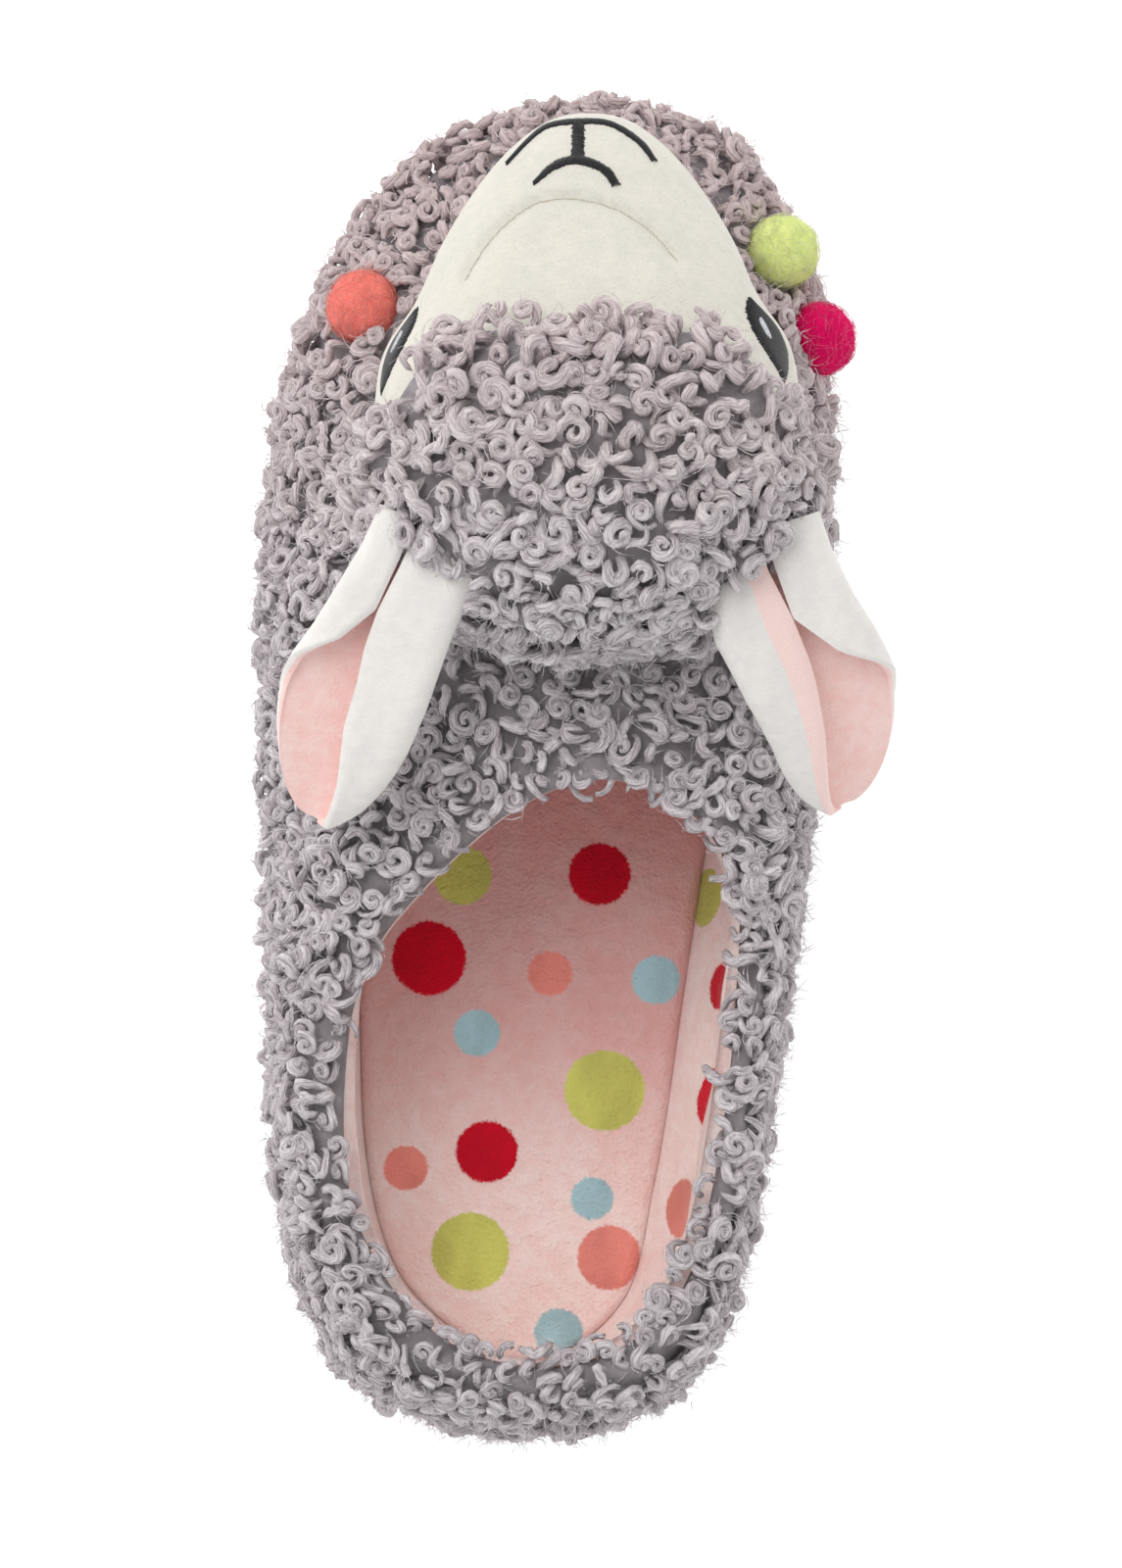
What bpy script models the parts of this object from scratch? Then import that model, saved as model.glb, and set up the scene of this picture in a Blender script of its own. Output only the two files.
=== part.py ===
"""A curly plush slipper with a stuffed llama head, for a left foot.

Metres. +Y runs to the toe, +X to the inner (medial) side of the foot, +Z up.
The origin is under the middle of the sole, on the floor.
"""

import math

import bmesh
import bpy
import numpy as np
from mathutils import Vector, noise
from mathutils.bvhtree import BVHTree

# Slipper: sizes over the cloth wall, without its curls
LENGTH = 0.256
BALL_WIDTH = 0.0975
HEEL_HEIGHT = 0.053
INSTEP_HEIGHT = 0.073
WALL_AT_SOLE = 0.0050
WALL_AT_TOPLINE = 0.0035
TUCK = 0.0030
TUCK_HEIGHT = 0.020
SOLE_THICKNESS = 0.0070
SOLE_EDGE = 0.0020
INSOLE_THICKNESS = 0.0070
INSOLE_EDGE = 0.0030
TOE_SPRING = 0.0030
SPRING_START = 0.62

# Curled locks of the plush
PILE = 0.0065
LOCK_SPACING = 0.0140
LOCK_REACH = 0.75
LOCK_ROUNDNESS = 0.65
LOCK_DROOP = 0.5

# Head: its axis turns a little to the outer side
HEAD_LENGTH = 0.102
HEAD_WIDTH = 0.082
HEAD_HEIGHT = 0.066
HEAD_BASE = 0.050
HEAD_OVERHANG = 0.0003
HEAD_SHIFT = 0.0006
HEAD_TURN = math.radians(2.3)
CROWN_THICKNESS = 0.0020
CROWN_LOWEST_BACK = -88.0
CROWN_LOWEST_FRONT = -46.0
EYE_LENGTH = 0.0180
EYE_WIDTH = 0.0100
EYE_THICKNESS = 0.0009

# Ears and pompoms
EAR_LENGTH = 0.057
EAR_WIDTH = 0.041
EAR_THICKNESS = 0.0022
EAR_FOLD_RADIUS = 0.0026
EAR_TIP_ROUNDING = 0.45
EAR_TIP_SHIFT = 0.25
EAR_FOLD_HOLD = 0.35
EAR_FOLD_LEAST = 0.5
EAR_CUP = math.radians(14)
POMPOM_DIAMETER = 0.0155
POMPOM_LUMPS = 0.0004

# Fits
GAP = 0.0003
SEAT_GAP = 0.0009
LOCK_GAP = 0.0032
CROWN_LOCK_GAP = 0.0100
EAR_ROOT_REACH = 0.0070
WELD = 0.00002

# Numbers of facets
AROUND = 114
WALL_ROWS = 14
LINING_RISES = (1.0, 0.65, 0.35, 0.16, 0.06, 0.0)
SOLE_AROUND = 56
SOLE_ACROSS = 2
HEAD_AROUND = 30
CROWN_COLUMNS = 22
CROWN_ROWS = 10
NOSE_ROWS = 9
EAR_ROWS = 14
EAR_FLAT, EAR_BEND, EAR_FLAP = 3, 3, 2
EYE_ALONG_FACETS, EYE_ACROSS_FACETS = 8, 4

# Outline of the wall at its widest and of the collar's edge, one row for each station from heel to toe.
# station is a share of LENGTH from the heel, across and in_x are shares of BALL_WIDTH to each side,
# in_y is a share of LENGTH, and rise goes from the heel's topline at 0 to the instep's at 1.
OUTLINE_COLUMNS = ("station", "lateral", "medial", "lat_in_x", "lat_in_y", "med_in_x", "med_in_y", "rise")
OUTLINE_ROWS = (
    (0.000, -0.005, -0.005, 0.015, 0.041, 0.015, 0.041, 0.04),
    (0.026, -0.205, 0.180, -0.154, 0.055, 0.180, 0.057, 0.04),
    (0.080, -0.362, 0.313, -0.292, 0.102, 0.298, 0.100, 0.02),
    (0.170, -0.448, 0.372, -0.379, 0.174, 0.352, 0.170, 0.00),
    (0.322, -0.487, 0.415, -0.390, 0.295, 0.388, 0.303, 0.02),
    (0.498, -0.523, 0.458, -0.344, 0.357, 0.396, 0.381, 0.20),
    (0.674, -0.545, 0.460, -0.267, 0.398, 0.370, 0.422, 0.45),
    (0.810, -0.507, 0.458, -0.185, 0.432, 0.318, 0.455, 0.68),
    (0.904, -0.392, 0.408, -0.092, 0.463, 0.243, 0.479, 0.86),
    (0.971, -0.205, 0.270, 0.005, 0.484, 0.172, 0.489, 0.96),
    (1.000, 0.036, 0.036, 0.090, 0.492, 0.090, 0.492, 1.00),
)

# Shape of the wall from sole to collar: how square it stands at the side and how it runs back over the toes.
SIDE_POWER = 2.3
TOE_POWER = 1.3
HEIGHT_POWER = 2.2
SIDE_LEAN = 0.55
LEAN_POWER = 1.4

# Sections of the head from the back to the nose. along is a share of HEAD_LENGTH, half a share of
# half HEAD_WIDTH, and top and broad are shares of HEAD_HEIGHT over HEAD_BASE: the ridge and the widest line.
HEAD_COLUMNS = ("along", "half", "top", "broad")
HEAD_SECTIONS = (
    (0.00, 0.00, 0.50, 0.50),
    (0.02, 0.38, 0.68, 0.48),
    (0.08, 0.69, 0.84, 0.45),
    (0.18, 0.90, 0.96, 0.43),
    (0.34, 1.00, 1.00, 0.42),
    (0.48, 0.945, 0.96, 0.40),
    (0.60, 0.81, 0.83, 0.36),
    (0.72, 0.705, 0.65, 0.27),
    (0.83, 0.555, 0.48, 0.18),
    (0.92, 0.385, 0.33, 0.09),
    (0.98, 0.20, 0.17, 0.03),
    (1.00, 0.00, 0.00, 0.00),
)
HEAD_TOP_POWER = 2.35
HEAD_UNDER_POWER = 2.6
HEAD_UNDER_DEPTH = 0.030

# Front edge of the crown, as shares of HEAD_LENGTH, by the angle up from the head's widest line.
CROWN_EDGE_COLUMNS = ("angle", "along")
CROWN_EDGE = (
    (-50.0, 0.12),
    (-20.0, 0.19),
    (0.0, 0.26),
    (15.0, 0.33),
    (32.0, 0.40),
    (44.0, 0.51),
    (60.0, 0.545),
    (90.0, 0.545),
)

# Where each eye lies on the head: its side, a share of HEAD_LENGTH and the angle up from the widest line.
EYE_COLUMNS = ("side", "along", "angle")
EYES = {
    "eye_lateral": (-1, 0.520, 9.0),
    "eye_medial": (1, 0.540, 20.0),
}

# Each ear: the side it is on, its root on the head, the way to its tip as shares of EAR_LENGTH,
# how high it arches on the way, and how far it rolls about its length.
EAR_COLUMNS = ("side", "along", "angle", "back", "out", "drop", "arch", "turn")
EARS = {
    "ear_lateral": (-1, 0.130, 33.0, 0.86, 0.32, 0.44, 0.10, 4.0),
    "ear_medial": (1, 0.130, 21.0, 0.78, 0.29, 0.44, 0.10, 8.0),
}
# Sections along an ear. The inner side is the one by the head's middle. On each side the sheet runs
# out flat, bends over by an angle in degrees and goes back as a flap; lengths are shares of EAR_WIDTH.
EAR_SECTION_COLUMNS = ("along", "inner", "inner_bend", "inner_flap", "outer", "outer_bend", "outer_flap")
EAR_SECTIONS = {
    "ear_lateral": (
        (0.00, 0.18, 165.0, 0.25, 0.22, 165.0, 0.10),
        (0.20, 0.18, 165.0, 0.27, 0.26, 165.0, 0.13),
        (0.33, 0.19, 165.0, 0.27, 0.29, 150.0, 0.08),
        (0.45, 0.20, 165.0, 0.25, 0.33, 95.0, 0.02),
        (0.60, 0.20, 165.0, 0.23, 0.355, 35.0, 0.01),
        (0.80, 0.19, 165.0, 0.15, 0.35, 15.0, 0.01),
        (1.00, 0.18, 165.0, 0.12, 0.34, 10.0, 0.01),
    ),
    "ear_medial": (
        (0.00, 0.235, 165.0, 0.20, 0.235, 165.0, 0.20),
        (0.20, 0.27, 165.0, 0.28, 0.275, 165.0, 0.23),
        (0.36, 0.23, 165.0, 0.26, 0.33, 150.0, 0.15),
        (0.45, 0.21, 165.0, 0.24, 0.35, 120.0, 0.05),
        (0.55, 0.18, 160.0, 0.20, 0.365, 60.0, 0.01),
        (0.65, 0.16, 155.0, 0.17, 0.37, 30.0, 0.01),
        (0.84, 0.17, 150.0, 0.14, 0.37, 20.0, 0.01),
        (1.00, 0.17, 150.0, 0.12, 0.36, 15.0, 0.01),
    ),
}

# Seats of the pompoms on the wall: the row of the outline (past 10 on the outer side) and the share
# of the way from sole to collar, counted as an angle.
POMPOM_SEATS = {
    "pompom_coral": (12.16, 0.26),
    "pompom_lime": (8.38, 0.22),
    "pompom_pink": (7.66, 0.23),
}

COLOURS = {
    "curly_plush": ((0.52, 0.47, 0.49), 0.95),
    "white_plush": ((0.86, 0.84, 0.80), 0.9),
    "spotted_plush": ((0.86, 0.56, 0.52), 0.9),
    "sole_cloth": ((0.42, 0.40, 0.41), 0.9),
    "black_thread": ((0.02, 0.02, 0.022), 0.6),
    "coral_felt": ((0.93, 0.15, 0.11), 0.95),
    "lime_felt": ((0.70, 0.90, 0.20), 0.95),
    "pink_felt": ((0.80, 0.01, 0.12), 0.95),
}


def clear_scene():
    """Removes what the startup scene holds."""
    for thing in list(bpy.data.objects):
        bpy.data.objects.remove(thing)


def material(name):
    """The plain finish of that name."""
    found = bpy.data.materials.get(name)
    if found:
        return found
    colour, roughness = COLOURS[name]
    made = bpy.data.materials.new(name)
    made.use_nodes = True
    shader = made.node_tree.nodes["Principled BSDF"]
    shader.inputs["Base Color"].default_value = (*colour, 1.0)
    shader.inputs["Roughness"].default_value = roughness
    shader.inputs["Metallic"].default_value = 0.0
    return made


def grid_mesh(columns, rows, place):
    """A grid of faces whose corner (i, j) lies at place(i, j); corners that meet are welded."""
    bm = bmesh.new()
    bmesh.ops.create_grid(bm, x_segments=columns, y_segments=rows, size=0.5)
    corner = bm.verts.layers.int.new("corner")
    for vert in bm.verts:
        i = round((vert.co.x + 0.5) * columns)
        j = round((vert.co.y + 0.5) * rows)
        vert[corner] = i * (rows + 1) + j
        vert.co = place(i, j)
    bmesh.ops.triangulate(bm, faces=bm.faces, quad_method="FIXED")
    bmesh.ops.remove_doubles(bm, verts=bm.verts, dist=WELD)
    bmesh.ops.dissolve_degenerate(bm, dist=WELD, edges=bm.edges)
    return bm


def shell_mesh(columns, rows, inner, outer):
    """A closed wall between the grids inner(i, j) and outer(i, j)."""
    bm = grid_mesh(columns, rows, inner)
    corner = bm.verts.layers.int["corner"]
    made = bmesh.ops.extrude_face_region(bm, geom=bm.faces[:], use_keep_orig=True)
    for item in made["geom"]:
        if isinstance(item, bmesh.types.BMVert):
            item.co = outer(*divmod(item[corner], rows + 1))
    return bm


def add_object(name, bm, finish, smooth_under=60.0):
    """Turns a closed bmesh into the named object."""
    bmesh.ops.recalc_face_normals(bm, faces=bm.faces)
    mesh = bpy.data.meshes.new(name)
    bm.to_mesh(mesh)
    bm.free()
    mesh.shade_smooth()
    mesh.set_sharp_from_angle(angle=math.radians(smooth_under))
    mesh.materials.append(material(finish))
    thing = bpy.data.objects.new(name, mesh)
    bpy.context.scene.collection.objects.link(thing)
    return thing


def tree_of(thing):
    """A search tree of the object's faces."""
    mesh = thing.data
    return BVHTree.FromPolygons(
        [v.co.copy() for v in mesh.vertices], [tuple(p.vertices) for p in mesh.polygons]
    )


def hermite(before, start, end, after, spans, share):
    """A smooth curve from start to end at share, for neighbours that lie the three spans apart."""
    first, middle, last = spans
    leave = (end - before) * (middle / (first + middle))
    arrive = (after - start) * (middle / (middle + last))
    s2, s3 = share * share, share**3
    return (
        start * (2 * s3 - 3 * s2 + 1)
        + leave * (s3 - 2 * s2 + share)
        + end * (3 * s2 - 2 * s3)
        + arrive * (s3 - s2)
    )


def closed_curve(knots, where):
    """The point of the smooth closed curve through the knots at a knot number with a fraction."""
    count = len(knots)
    base = int(math.floor(where)) % count
    points = [np.array(knots[(base + k) % count], float) for k in (-1, 0, 1, 2)]
    spans = [max(np.linalg.norm(b[:2] - a[:2]), WELD) for a, b in zip(points, points[1:])]
    return hermite(*points, spans, where - math.floor(where))


def table_value(rows, column, where, odd=False):
    """A table's column at a row number with a fraction; past its ends it mirrors, with the sign turned if odd."""
    last = len(rows) - 1

    def value(k):
        if k < 0:
            return -rows[-k][column] if odd else rows[-k][column]
        if k > last:
            other = rows[2 * last - k][column]
            return -other if odd else other
        return rows[k][column]

    base = min(int(math.floor(where)), last - 1)
    return hermite(*(value(base + k) for k in (-1, 0, 1, 2)), (1, 1, 1), where - base)


def mix(low, high, share):
    """The value a share of the way from low to high."""
    return low + (high - low) * share


def outline_knots():
    """Knots round the slipper from the heel by the inner side to the toe and back: x, y of the wall, x, y, z of the collar."""
    table = [dict(zip(OUTLINE_COLUMNS, row)) for row in OUTLINE_ROWS]
    medial = [("medial", "med_in_x", "med_in_y", row) for row in table]
    lateral = [("lateral", "lat_in_x", "lat_in_y", row) for row in table[-2:0:-1]]
    knots = []
    for across, in_x, in_y, row in medial + lateral:
        knots.append(
            (
                row[across] * BALL_WIDTH,
                (row["station"] - 0.5) * LENGTH,
                row[in_x] * BALL_WIDTH,
                (row[in_y] - 0.5) * LENGTH,
                mix(HEEL_HEIGHT, INSTEP_HEIGHT, row["rise"]),
            )
        )
    return knots


KNOTS = outline_knots()
WALL_KNOTS = [k[:2] for k in KNOTS]
COLLAR_KNOTS = [k[2:] for k in KNOTS]
TOE_KNOT = len(OUTLINE_ROWS) - 1


def even_places(count):
    """Knot numbers of points spread evenly round the wall's outline, the first at the heel's tip."""
    fine = np.linspace(0, len(KNOTS), 40 * len(KNOTS) + 1)
    points = np.array([closed_curve(WALL_KNOTS, w) for w in fine])
    run = np.concatenate([[0], np.cumsum(np.linalg.norm(np.diff(points, axis=0), axis=1))])
    toe_run = np.interp(TOE_KNOT, fine, run)
    half = count // 2
    inner = np.interp(np.linspace(0, toe_run, half + 1)[:-1], run, fine)
    outer = np.interp(np.linspace(toe_run, run[-1], half + 1)[:-1], run, fine)
    return np.concatenate([inner, outer])


def outward(where):
    """The wall outline's outward direction at a knot number, in plan."""
    step = 0.02
    before, after = closed_curve(WALL_KNOTS, where - step), closed_curve(WALL_KNOTS, where + step)
    along = (after - before) / np.linalg.norm(after - before)
    return np.array([along[1], -along[0]])


def outline_point(where, inset):
    """A point of the wall's outline, moved in by inset."""
    return closed_curve(WALL_KNOTS, where) - outward(where) * inset


def spring(y):
    """How far the toe lifts everything at this y."""
    start = (SPRING_START - 0.5) * LENGTH
    share = max(0.0, (y - start) / (LENGTH / 2 - start))
    return TOE_SPRING * share * share


def frontness(where):
    """0 at the sides and heel of the wall, 1 on the stretch in front of the throat."""
    from_toe = abs(where - TOE_KNOT)
    share = min(1.0, max(0.0, (from_toe - 2.2) / 3.0))
    return 1.0 - share * share * (3 - 2 * share)


def wall_point(where, rise):
    """The wall's outer face without curls: rise is 0 at the sole and 1 at the collar, counted as an angle."""
    front = frontness(where)
    angle = rise * math.pi / 2
    height = math.sin(angle) ** (2 / HEIGHT_POWER)
    power = mix(SIDE_POWER, TOE_POWER, front)
    lean = mix(SIDE_LEAN, 0.0, front)
    inward = (1 - lean) * (1 - max(math.cos(angle), 0.0) ** (2 / power)) + lean * height**LEAN_POWER
    edge = closed_curve(WALL_KNOTS, where)
    collar = closed_curve(COLLAR_KNOTS, where)
    plan = edge + (collar[:2] - edge) * inward
    foot = SOLE_THICKNESS + GAP
    z = foot + (collar[2] - foot) * height
    low = max(0.0, 1 - (z - foot) / TUCK_HEIGHT)
    plan = plan - outward(where) * TUCK * low * low
    return np.array([plan[0], plan[1], z + spring(plan[1])])


def wall_normal(where, rise):
    """The wall's outward direction."""
    step = 0.01
    low, high = max(0.0, rise - step), min(1.0, rise + step)
    round_it = wall_point(where + step, rise) - wall_point(where - step, rise)
    up_it = wall_point(where, high) - wall_point(where, low)
    normal = np.cross(round_it, up_it)
    return normal / np.linalg.norm(normal)


def lining_point(where, rise):
    """The wall's inner face."""
    thickness = mix(WALL_AT_SOLE, WALL_AT_TOPLINE, rise)
    point = wall_point(where, rise) - wall_normal(where, rise) * thickness
    point[2] = max(point[2], SOLE_THICKNESS + GAP + spring(point[1]))
    return point


def lock_height(point):
    """How far the curled locks stand out at a point: rounded tufts in irregular cells."""
    distances, _ = noise.voronoi(Vector(point) / LOCK_SPACING + Vector((30.0, 30.0, 30.0)))
    return PILE * max(0.0, 1 - (distances[0] / LOCK_REACH) ** 2) ** LOCK_ROUNDNESS


def lining_inset(where, high):
    """How far inside the wall's outline the lining lies, up to that height."""
    edge = closed_curve(WALL_KNOTS, where)
    deepest = 0.0
    for step in range(21):
        point = lining_point(where, step / 40)
        deepest = max(deepest, float(np.dot(edge - point[:2], outward(where))))
        if point[2] > high + spring(point[1]):
            break
    return deepest


def slab(name, inset, low, high, edge, finish):
    """A layer with the slipper's outline, inset(where) inside it, from height low to high, with rounded edges."""
    places = even_places(SOLE_AROUND)
    half = SOLE_AROUND // 2
    side = ((edge, low), (edge * 0.3, low + edge * 0.3), (0.0, low + edge))
    side += ((0.0, high - edge), (edge * 0.3, high - edge * 0.3), (edge, high))
    ring = [(1.0, cut, z) for cut, z in side]
    ring += [(1 - step / SOLE_ACROSS, edge, high) for step in range(1, SOLE_ACROSS)]
    ring += [(0.0, cut, z) for cut, z in reversed(side)]
    ring += [(step / SOLE_ACROSS, edge, low) for step in range(1, SOLE_ACROSS)]

    def place(i, j):
        share, cut, z = ring[i % len(ring)]
        here, there = places[j], places[-j % SOLE_AROUND]
        inner = outline_point(here, inset(here) + cut)
        outer = outline_point(there, inset(there) + cut)
        x, y = mix(outer, inner, share)
        return (x, y, z + spring(y))

    return add_object(name, grid_mesh(len(ring), half, place), finish)


def upper_mesh(lock_room, above):
    """The upper: one wall, from the sole over the collar's edge and down the lining."""
    places = even_places(AROUND)
    ring = [("wall", k / WALL_ROWS) for k in range(WALL_ROWS + 1)]
    ring.append(("rim", 1.0))
    ring += [("lining", rise) for rise in LINING_RISES]

    def place(i, j):
        where = places[i % AROUND]
        face, rise = ring[j % len(ring)]
        if face == "lining":
            return lining_point(where, rise)
        if face == "rim":
            middle = (wall_point(where, 1.0) + lining_point(where, 1.0)) / 2
            inward = closed_curve(COLLAR_KNOTS, where)[:2] - closed_curve(WALL_KNOTS, where)
            inward = inward / np.linalg.norm(inward)
            stand = min(lock_height(middle), lock_room(middle)) * LOCK_DROOP
            return middle + np.array([*(inward * (WALL_AT_TOPLINE + stand) / 2), stand])
        point = wall_point(where, rise)
        stand = min(lock_height(point), lock_room(point))
        if rise == 0:
            return point + np.array([*(outward(where) * stand * LOCK_DROOP), 0.0])
        moved = point + wall_normal(where, rise) * stand
        moved[2] = max(moved[2], SOLE_THICKNESS + 2 * GAP + spring(moved[1]))
        moved[2] = min(moved[2], above(moved) - 4 * GAP)
        return moved

    return grid_mesh(AROUND, len(ring), place)


def smooth_wall():
    """The wall's outer face without curls, to seat things on."""
    places = even_places(AROUND)
    bm = grid_mesh(AROUND, WALL_ROWS, lambda i, j: wall_point(places[i % AROUND], j / WALL_ROWS))
    tree = BVHTree.FromBMesh(bm)
    bm.free()
    return tree


def head_to_shoe(across, along, z):
    """A point of the head's own plan, along counted from the back of the head, in the shoe's frame."""
    nose_y = LENGTH / 2 + HEAD_OVERHANG
    back = along - HEAD_LENGTH
    x = HEAD_SHIFT + across * math.cos(HEAD_TURN) - back * math.sin(HEAD_TURN)
    y = nose_y + across * math.sin(HEAD_TURN) + back * math.cos(HEAD_TURN)
    return Vector((x, y, z))


def head_row(along_share):
    """The row number of the head's table at a share of its length."""
    fine = np.linspace(0, len(HEAD_SECTIONS) - 1, 400)
    shares = [table_value(HEAD_SECTIONS, 0, w) for w in fine]
    return float(np.interp(along_share, shares, fine))


def signed_power(value, power):
    """A power that keeps the sign."""
    return math.copysign(abs(value) ** power, value)


def head_point(row, angle):
    """The head's surface: row runs from its back to its nose, angle is 0 at the inner side and a quarter turn at the top."""
    along = table_value(HEAD_SECTIONS, 0, row) * HEAD_LENGTH
    half = max(0.0, table_value(HEAD_SECTIONS, 1, row, odd=True)) * HEAD_WIDTH / 2
    top = HEAD_BASE + table_value(HEAD_SECTIONS, 2, row) * HEAD_HEIGHT
    broad = HEAD_BASE + table_value(HEAD_SECTIONS, 3, row) * HEAD_HEIGHT
    cos, sin = math.cos(angle), math.sin(angle)
    fullness = min(1.0, half / (0.3 * HEAD_WIDTH))
    if sin >= 0:
        across = half * signed_power(cos, 2 / HEAD_TOP_POWER)
        z = broad + (top - broad) * signed_power(sin, 2 / HEAD_TOP_POWER)
    else:
        across = half * signed_power(cos, 2 / HEAD_UNDER_POWER)
        z = broad + HEAD_UNDER_DEPTH * fullness * signed_power(sin, 2 / HEAD_UNDER_POWER)
    return head_to_shoe(across, along, z)


def head_normal(row, angle):
    """The head's outward direction."""
    step = 0.02
    last = len(HEAD_SECTIONS) - 1
    forward = head_point(min(last, row + step), angle) - head_point(max(0, row - step), angle)
    turning = head_point(row, angle + step) - head_point(row, angle - step)
    return forward.cross(turning).normalized()


def lifted(point, wall, gap):
    """The point, raised to lie the gap over the wall where it would be lower."""
    hit, _, _, _ = wall.ray_cast(Vector((point[0], point[1], 1.0)), Vector((0, 0, -1)))
    if hit is not None and point[2] < hit.z + gap:
        return Vector((point[0], point[1], hit.z + gap))
    return Vector(point)


def crown_edge(angle):
    """How far forward the crown reaches at an angle from the head's inner side, as a share of HEAD_LENGTH."""
    up = 90 - abs((math.degrees(angle) + 90) % 360 - 180)
    angles, shares = zip(*CROWN_EDGE)
    return float(np.interp(up, angles, shares))


def wall_height(wall, point):
    """The wall's height under a point, or nothing where there is no wall."""
    hit, _, _, _ = wall.ray_cast(Vector((point[0], point[1], 1.0)), Vector((0, 0, -1)))
    return None if hit is None else hit.z


def crown_sides(wall):
    """For each row of the crown, how far down it reaches on the inner and the outer side: two angles."""
    found = []
    for j in range(CROWN_ROWS + 1):
        limit = mix(CROWN_LOWEST_BACK, CROWN_LOWEST_FRONT, j / CROWN_ROWS)
        ends = []
        for side in (1, -1):
            lowest = 30.0
            while True:
                up = lowest - 4.0
                angle = math.radians(up if side > 0 else 180 - up)
                row = head_row(crown_edge(angle)) * max(j, 1) / CROWN_ROWS
                point = off_head(row, angle, GAP + CROWN_THICKNESS)
                under = wall_height(wall, point)
                if up < limit or (under is not None and point.z < under + SEAT_GAP + CROWN_THICKNESS):
                    break
                lowest = up
            ends.append(math.radians(lowest if side > 0 else 180 - lowest))
        found.append(tuple(ends))
    return found


def head_grid(wall):
    """Where each corner of the head's grid lies: its rows follow the crown's front edge, its columns its lower edges."""
    sides = crown_sides(wall)
    level = (0.0, math.pi)

    def spot(i, j):
        nose = max(0, j - CROWN_ROWS) / NOSE_ROWS
        start, end = (mix(s, v, min(1.0, 2 * nose)) for s, v in zip(sides[min(j, CROWN_ROWS)], level))
        if i <= CROWN_COLUMNS:
            angle = mix(start, end, i / CROWN_COLUMNS)
        else:
            angle = mix(end, start + 2 * math.pi, (i - CROWN_COLUMNS) / (HEAD_AROUND - CROWN_COLUMNS))
        edge = head_row(crown_edge(angle))
        if j <= CROWN_ROWS:
            return edge * j / CROWN_ROWS, angle
        return mix(edge, len(HEAD_SECTIONS) - 1, nose), angle

    return spot


def off_head(row, angle, stand):
    """A point that far off the head."""
    out = head_normal(row, angle) if row > 0 else Vector((0, -1, 0))
    return head_point(row, angle) + out * stand


def make_face(wall, spot):
    """The stuffed head, seated on the vamp."""
    bm = grid_mesh(
        HEAD_AROUND, CROWN_ROWS + NOSE_ROWS, lambda i, j: lifted(head_point(*spot(i, j)), wall, SEAT_GAP)
    )
    return add_object("face", bm, "white_plush")


def make_crown(spot, room):
    """The cap of curly plush over the top and back of the head."""

    def outer(i, j):
        row, angle = spot(i, j)
        bare = off_head(row, angle, GAP + CROWN_THICKNESS)
        edge = i in (0, CROWN_COLUMNS) or j == CROWN_ROWS
        stand = 0.0 if edge else min(lock_height(bare) * min(1.0, j / 4), room(bare))
        return off_head(row, angle, GAP + CROWN_THICKNESS + stand)

    bm = shell_mesh(CROWN_COLUMNS, CROWN_ROWS, lambda i, j: off_head(*spot(i, j), GAP), outer)
    return add_object("crown", bm, "curly_plush")


def ear_section(name, share):
    """The middle line of an ear's section: across (outer side positive), up, and direction of the sheet.

    Towards the tip the section narrows, draws to the middle of the ear and opens its folds a little.
    """
    rows = EAR_SECTIONS[name]
    table = [float(np.interp(share, [r[0] for r in rows], [r[c] for r in rows])) for c in range(1, 7)]
    tip = max(0.0, (share - 1 + EAR_TIP_ROUNDING) / EAR_TIP_ROUNDING)
    scale = max(0.10, math.sqrt(max(0.0, 1 - tip * tip)))
    shift = (table[3] - table[0]) * EAR_WIDTH * EAR_TIP_SHIFT * (1 - scale)
    sides = []
    for flat, bend, flap in (table[:3], table[3:]):
        turn = math.radians(bend) * scale**EAR_FOLD_HOLD
        lengths = [flat * EAR_WIDTH * scale / EAR_FLAT] * EAR_FLAT
        lengths += [max(turn, 0.1) * EAR_FOLD_RADIUS * max(scale, EAR_FOLD_LEAST) / EAR_BEND] * EAR_BEND
        lengths += [flap * EAR_WIDTH * scale / EAR_FLAP] * EAR_FLAP
        turns = [EAR_CUP / EAR_FLAT] * EAR_FLAT + [turn / EAR_BEND] * EAR_BEND + [0.0] * EAR_FLAP
        across = up = direction = 0.0
        line = []
        for length, step in zip(lengths, turns):
            across += length * math.cos(direction + step / 2)
            up += length * math.sin(direction + step / 2)
            direction += step
            line.append((across, up, direction))
        sides.append(line)
    inner, outer = sides
    line = [(-x, y, -d) for x, y, d in reversed(inner)] + [(0.0, 0.0, 0.0)] + outer
    return [(x + shift, y, d) for x, y, d in line]


def ear_frame(name, share):
    """A point on an ear's spine, with its directions along, across (outwards) and up."""
    ear = dict(zip(EAR_COLUMNS, EARS[name]))
    side = ear["side"]
    up_angle = math.radians(ear["angle"])
    angle = up_angle if side > 0 else math.pi - up_angle
    root = off_head(head_row(ear["along"]), angle, GAP + CROWN_THICKNESS)
    reach = Vector((side * ear["out"], -ear["back"], -ear["drop"])) * EAR_LENGTH
    arch = Vector((0, 0, 4 * ear["arch"] * EAR_LENGTH))
    point = root + reach * share + arch * share * (1 - share)
    along = (reach + arch * (1 - 2 * share)).normalized()
    across = (Vector((0, 0, 1)).cross(along) * side).normalized()
    up = across.cross(along)
    if up.z < 0:
        up = -up
    turn = math.radians(ear["turn"])
    return point, along, across * math.cos(turn) - up * math.sin(turn), up * math.cos(turn) + across * math.sin(turn)


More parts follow.
